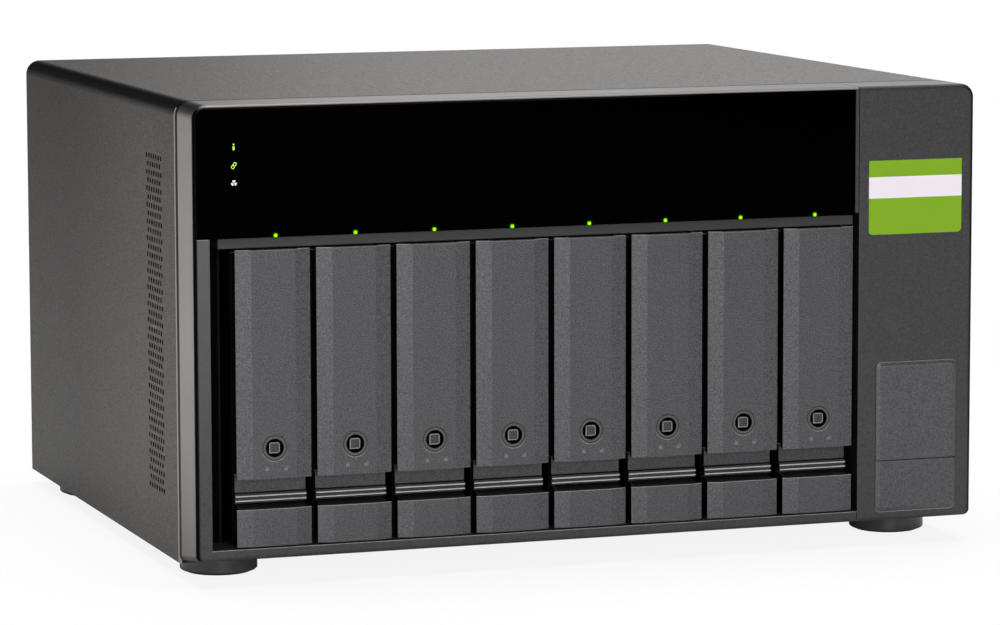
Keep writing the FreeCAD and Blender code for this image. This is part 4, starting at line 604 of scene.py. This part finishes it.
# Painted shade on the downward faces and painted highlight on the upward faces of the catch.
catch_colour = mix(catch_abs, climb(catch_abs, catch_rise, -0.2, -0.6), catch_colour, PAINTED_SHADE)
catch_colour = mix(catch_abs, climb(catch_abs, catch_rise, 0.2, 0.5), catch_colour, CATCH_UPPER_HIGHLIGHT)
# Painted highlight: the front tips of the ridges are drawn light.
catch_front = reach("tray_catch_1", 1)[0]
ridge_tip_highlight = step_of(catch_abs, "LESS_THAN", axes(catch_abs, "Object")[1], catch_front + RIDGE_TIP * MM)
catch_colour = mix(catch_abs, ridge_tip_highlight, catch_colour, RIDGE_HIGHLIGHT)
surface(catch_abs, Base_Color=catch_colour, Roughness=0.22, IOR=1.5,
        Normal=raised(catch_abs, catch_grain, TRAY_GRAIN_DEPTH / 3, TRAY_ROUND))

plug_abs = new_material("lock_plug_acetal")
plug_grain = grain(plug_abs, TRAY_GRAIN)
plug_x, plug_y, plug_z = axes(plug_abs, "Object")
plug_across = from_nearest(plug_abs, plug_x, TRAY_FIRST_X, TRAY_PITCH)
plug_up = step_of(plug_abs, "SUBTRACT", plug_z, LOCK_HEIGHT * MM)
plug_radius = radius_from(plug_abs, plug_across, plug_up)
peg_reach = step_of(plug_abs, "MAXIMUM", step_of(plug_abs, "ABSOLUTE", plug_across),
                    step_of(plug_abs, "ABSOLUTE", plug_up))
# Painted highlight: the peg's rim is drawn light.
peg_rim_highlight = step_of(plug_abs, "GREATER_THAN", peg_reach, PEG_RIM * MM)
rim_line = both(plug_abs, step_of(plug_abs, "GREATER_THAN", peg_reach, (PEG_RIM - PEG_LINE) * MM),
                step_of(plug_abs, "LESS_THAN", peg_reach, PEG_RIM * MM))
peg_colour = mix(plug_abs, peg_rim_highlight, blend(plug_abs, plug_grain, PEG_DARK, PEG_LIGHT), PEG_RIM_HIGHLIGHT)
peg_colour = mix(plug_abs, rim_line, peg_colour, PEG_LINE_COLOUR)
# Painted shade: the keyway hole round the peg is drawn near black, with little gloss.
keyway_shade = step_of(plug_abs, "MAXIMUM", step_of(plug_abs, "GREATER_THAN", plug_y, (FACE_Y + KEYWAY_DEPTH) * MM),
                 step_of(plug_abs, "GREATER_THAN", plug_radius, KEYWAY_INNER * MM))
collar = step_of(plug_abs, "GREATER_THAN", plug_radius, KEYWAY_RADIUS * MM)
ring_line = both(plug_abs, step_of(plug_abs, "GREATER_THAN", plug_radius, RING_LINE[0] * MM),
                 step_of(plug_abs, "LESS_THAN", plug_radius, RING_LINE[1] * MM))
outer_land = step_of(plug_abs, "GREATER_THAN", plug_radius, RING_LINE[1] * MM)
plug_colour = mix(plug_abs, keyway_shade, peg_colour, PAINTED_SHADE)
plug_colour = mix(plug_abs, collar, plug_colour, blend(plug_abs, plug_grain, COLLAR_DARK, COLLAR_LIGHT))
plug_colour = mix(plug_abs, ring_line, plug_colour, RING_LINE_COLOUR)
land_colour = blend(plug_abs, plug_grain, TRAY_DARK, TRAY_LIGHT, TRAY_SPREAD)
plug_colour = mix(plug_abs, outer_land, plug_colour, land_colour)
in_keyway = both(plug_abs, keyway_shade, climb(plug_abs, collar, 0.0, 1.0, 1.0, 0.0))
surface(plug_abs, Base_Color=plug_colour, Roughness=0.4, IOR=1.48,
        Specular_IOR_Level=climb(plug_abs, in_keyway, 0.0, 1.0, 0.5, 0.03),
        Normal=raised(plug_abs, plug_grain, *PLUG_RELIEF))

padlock_ink = new_material("pad_printed_grey_ink")
ink_grain = grain(padlock_ink, INK_GRAIN)
surface(padlock_ink, Base_Color=blend(padlock_ink, ink_grain, PADLOCK_DARK, PADLOCK_LIGHT), Roughness=0.5)

for number in TRAYS:
    dress(handle_abs, f"tray_handle_{number}")
    dress(catch_abs, f"tray_catch_{number}")
    dress(carrier_abs, f"tray_carrier_{number}")
    dress(plug_abs, f"tray_lock_{number}")
    middle_x = TRAY_FIRST_X + (number - 1) * TRAY_PITCH
    half, below, above = PADLOCK_CASE
    for state, (side, shift) in (("closed", PADLOCK_CLOSED), ("open", PADLOCK_OPEN)):
        x = middle_x + side
        foot, shoulder = PADLOCK_HEIGHT + below, PADLOCK_HEIGHT + above
        case = [(x - half, foot), (x + half, foot), (x + half, shoulder), (x - half, shoulder)]
        shackle = [arc((x + shift, shoulder), radius, 0, 180) for radius in SHACKLE_RADII]
        flat_mark(f"padlock_{state}_{number}", [case], [shackle],
                  FACE_Y, padlock_ink, f"handle_{number}")


# ---------------------------------------------------------------- drive cage, base pan and boards
# The pan and the supply's case are galvanised sheet, with the faint spangle of frozen zinc. The cage sheet is
# drawn near black as painted shade, with its sideways faces a little lighter as painted light. The two boards are
# glass-fibre laminate under green solder mask, with moulded sockets.
ZINC_SPANGLE = 6.0
ZINC_DARK = "#A9ABAD"
ZINC_LIGHT = "#C6C8C9"
CAGE_SHADE_DARK = "#050505"
CAGE_SHADE_LIGHT = "#090909"
CAGE_SIDE_PAINTED_LIGHT = "#202021"
CAGE_GRAIN = 1.0
CAGE_RELIEF = (0.02, 0.3)
BOARD_TRACK = 25 / 3
BOARD_GREENS = {"Color1": "#0E4A2C", "Color2": "#0B3F26", "Mortar": "#14603A"}
SOCKET_DARK = "#161616"
SOCKET_LIGHT = "#1F1F1F"
SOCKET_GRAIN = 0.8
SOCKET_RELIEF = (0.01, 0.2)
NICKEL_DARK = "#B9B6AE"
NICKEL_LIGHT = "#C7C4BC"
NICKEL_CLOUD = 2.0

zinc = new_material("galvanised_sheet_steel")
zinc_place = add_node(zinc, "ShaderNodeTexCoord", {}).outputs["Object"]
spangle = add_node(zinc, "ShaderNodeTexVoronoi", {"Vector": zinc_place, "Scale": 1 / (ZINC_SPANGLE * MM)})
zinc_colour = blend(zinc, spangle.outputs["Color"], ZINC_DARK, ZINC_LIGHT)
surface(zinc, Base_Color=zinc_colour, Metallic=1.0, Roughness=0.42)
dress(zinc, "base_pan", "power_supply")

cage_shade_sheet = new_material("cage_sheet_painted_shade")
cage_grain = grain(cage_shade_sheet, CAGE_GRAIN)
# Painted light: the sideways faces of the cage are drawn lighter than its near black, which is painted shade.
cage_side_light = along_axis(cage_shade_sheet, axes(cage_shade_sheet, "Normal")[0])
cage_shade_colour = mix(cage_shade_sheet, cage_side_light, blend(cage_shade_sheet, cage_grain, CAGE_SHADE_DARK, CAGE_SHADE_LIGHT), CAGE_SIDE_PAINTED_LIGHT)
surface(cage_shade_sheet, Base_Color=cage_shade_colour, Roughness=0.6, IOR=1.5, Specular_IOR_Level=0.1,
        Normal=raised(cage_shade_sheet, cage_grain, *CAGE_RELIEF))
dress(cage_shade_sheet, "cage_plates", "cage_sides")

board = new_material("solder_masked_laminate")
board_place = add_node(board, "ShaderNodeTexCoord", {}).outputs["Object"]
board_greens = {part: linear(green) for part, green in BOARD_GREENS.items()}
tracks = add_node(board, "ShaderNodeTexBrick",
                  {"Vector": board_place, "Scale": 1 / (BOARD_TRACK * MM), **board_greens})
surface(board, Base_Color=tracks.outputs["Color"], Roughness=0.3, IOR=1.5)
dress(board, "backplane_board", "control_board")

socket_plastic = new_material("moulded_black_polyester")
socket_grain = grain(socket_plastic, SOCKET_GRAIN)
socket_colour = blend(socket_plastic, socket_grain, SOCKET_DARK, SOCKET_LIGHT)
surface(socket_plastic, Base_Color=socket_colour, Roughness=0.45, IOR=1.55,
        Normal=raised(socket_plastic, socket_grain, *SOCKET_RELIEF))
dress(socket_plastic, "drive_connectors", "ac_inlet", "power_switch", "fan_selector")

nickel = new_material("nickel_plated_shell")
nickel_grain = grain(nickel, NICKEL_CLOUD)
surface(nickel, Base_Color=blend(nickel, nickel_grain, NICKEL_DARK, NICKEL_LIGHT), Metallic=1.0, Roughness=0.25)
dress(nickel, "usb_port")


# ---------------------------------------------------------------- fans and screws
# Two 120 mm fans of glass-filled polyester, frame and rotor moulded in the same black, whose fibres leave it
# slightly uneven and half matt. The screws are zinc plated and blackened, so they stay dark but shine like metal.
FAN_DARK = "#1B1B1C"
FAN_LIGHT = "#262628"
FAN_GRAIN = 1.2
FAN_RELIEF = (0.01, 0.3)
SCREW_DARK = "#4A4A4A"
SCREW_LIGHT = "#5C5C5C"
SCREW_GRAIN = 0.5

fan_plastic = new_material("glass_filled_fan_polyester")
fan_grain = grain(fan_plastic, FAN_GRAIN)
surface(fan_plastic, Base_Color=blend(fan_plastic, fan_grain, FAN_DARK, FAN_LIGHT), Roughness=0.38, IOR=1.57,
        Normal=raised(fan_plastic, fan_grain, *FAN_RELIEF))
dress(fan_plastic, "fan_frames", "fan_rotor_left", "fan_rotor_right")

black_zinc = new_material("blackened_zinc_screw")
screw_grain = grain(black_zinc, SCREW_GRAIN)
screw_colour = blend(black_zinc, screw_grain, SCREW_DARK, SCREW_LIGHT)
surface(black_zinc, Base_Color=screw_colour, Metallic=1.0, Roughness=0.35)
dress(black_zinc, "chassis_screws")


# ---------------------------------------------------------------- feet
# Round ABS feet screwed under the pan, moulded in a polished tool, so they stay smooth and shiny. Their black is
# drawn as a dark grey, a painted reflection standing for that shine. Each has a soft rubber pad let into its
# underside.
FOOT_SHEEN_DARK = "#474748"
FOOT_SHEEN_LIGHT = "#515152"
FOOT_CLOUD = 3.0
FOOT_RELIEF = (0.01, 0.4)
PAD_DARK = "#0C0C0C"
PAD_LIGHT = "#131313"
PAD_GRAIN = 0.8
PAD_RELIEF = (0.03, 0.3)

foot_abs = new_material("polished_black_abs_painted_sheen")
foot_grain = grain(foot_abs, FOOT_CLOUD)
# Painted reflection: the black ABS is drawn dark grey.
surface(foot_abs, Base_Color=blend(foot_abs, foot_grain, FOOT_SHEEN_DARK, FOOT_SHEEN_LIGHT), Roughness=0.28, IOR=1.5,
        Normal=raised(foot_abs, foot_grain, *FOOT_RELIEF))
dress(foot_abs, "feet")

pad_rubber = new_material("moulded_rubber_pad")
pad_grain = grain(pad_rubber, PAD_GRAIN)
surface(pad_rubber, Base_Color=blend(pad_rubber, pad_grain, PAD_DARK, PAD_LIGHT), Roughness=0.8, IOR=1.52,
        Normal=raised(pad_rubber, pad_grain, *PAD_RELIEF))
dress(pad_rubber, "foot_pads")


# ---------------------------------------------------------------- floor, backdrop and lamps
# A white studio: a matt floor that keeps a soft shadow near the object, and four soft lamps: one over the lens,
# one overhead, one far behind that skims the top of the cover, and a weak one behind on the left. The world
# is white to the camera and through clear parts, and gives the object almost no light.
FLOOR_SIZE = 30.0
FLOOR_WHITE = 0.88
FLOOR_MATT = "#F4F4F4"
STUDIO_WHITE = "#FFFFFF"
SHADOW_REACH = (0.2, 0.7)
WORLD_LEVEL = 0.02
LAMPS = {
    "front_lamp": ((-0.45, -2.9, 0.75), 1.3, 43.5),
    "top_lamp": ((0.0, 0.2, 2.3), 1.8, 66.5),
    "back_lamp": ((1.3, 2.6, 1.3), 1.4, 13.0),
    "side_lamp": ((-2.0, 2.6, 1.0), 1.6, 7.0),
}
LAMP_AIM = Vector((0.0, 0.0, 0.1))

world = bpy.data.worlds.new("studio")
bpy.context.scene.world = world
world.use_nodes = True
world.node_tree.nodes.clear()
ray = add_node(world, "ShaderNodeLightPath", {})
seen = step_of(world, "MAXIMUM", ray.outputs["Is Camera Ray"], ray.outputs["Is Transmission Ray"])
level = add_node(world, "ShaderNodeMix", {"Factor": seen, 2: WORLD_LEVEL, 3: 1.0}, data_type="FLOAT")
sky = add_node(world, "ShaderNodeBackground", {"Color": linear(STUDIO_WHITE), "Strength": level.outputs[0]})
add_node(world, "ShaderNodeOutputWorld", {"Surface": sky.outputs[0]})

floor_mesh = bpy.data.meshes.new("floor")
floor_shape = bmesh.new()
bmesh.ops.create_grid(floor_shape, x_segments=1, y_segments=1, size=FLOOR_SIZE / 2)
floor_shape.to_mesh(floor_mesh)
floor_shape.free()
floor = bpy.data.objects.new("floor", floor_mesh)
bpy.context.scene.collection.objects.link(floor)
paper = new_material("white_studio_floor")
matt = add_node(paper, "ShaderNodeBsdfDiffuse", {"Color": linear(FLOOR_MATT)})
white = add_node(paper, "ShaderNodeEmission", {"Color": linear(STUDIO_WHITE), "Strength": 1.0})
floor_ray = add_node(paper, "ShaderNodeLightPath", {})
spot = add_node(paper, "ShaderNodeTexCoord", {}).outputs["Object"]
from_middle = add_node(paper, "ShaderNodeVectorMath", {0: spot}, operation="LENGTH").outputs["Value"]
share = both(paper, floor_ray.outputs["Is Camera Ray"], climb(paper, from_middle, *SHADOW_REACH, FLOOR_WHITE, 1.0))
mixed = add_node(paper, "ShaderNodeMixShader", {0: share, 1: matt.outputs[0], 2: white.outputs[0]})
add_node(paper, "ShaderNodeOutputMaterial", {"Surface": mixed.outputs[0]})
floor_mesh.materials.append(paper)

for name, (place, size, watts) in LAMPS.items():
    lamp_data = bpy.data.lights.new(name, "AREA")
    lamp_data.size = size
    lamp_data.energy = watts
    lamp = bpy.data.objects.new(name, lamp_data)
    bpy.context.scene.collection.objects.link(lamp)
    lamp.location = place
    lamp.rotation_euler = (LAMP_AIM - Vector(place)).to_track_quat("-Z", "Y").to_euler()

bpy.context.scene.view_settings.view_transform = "Standard"
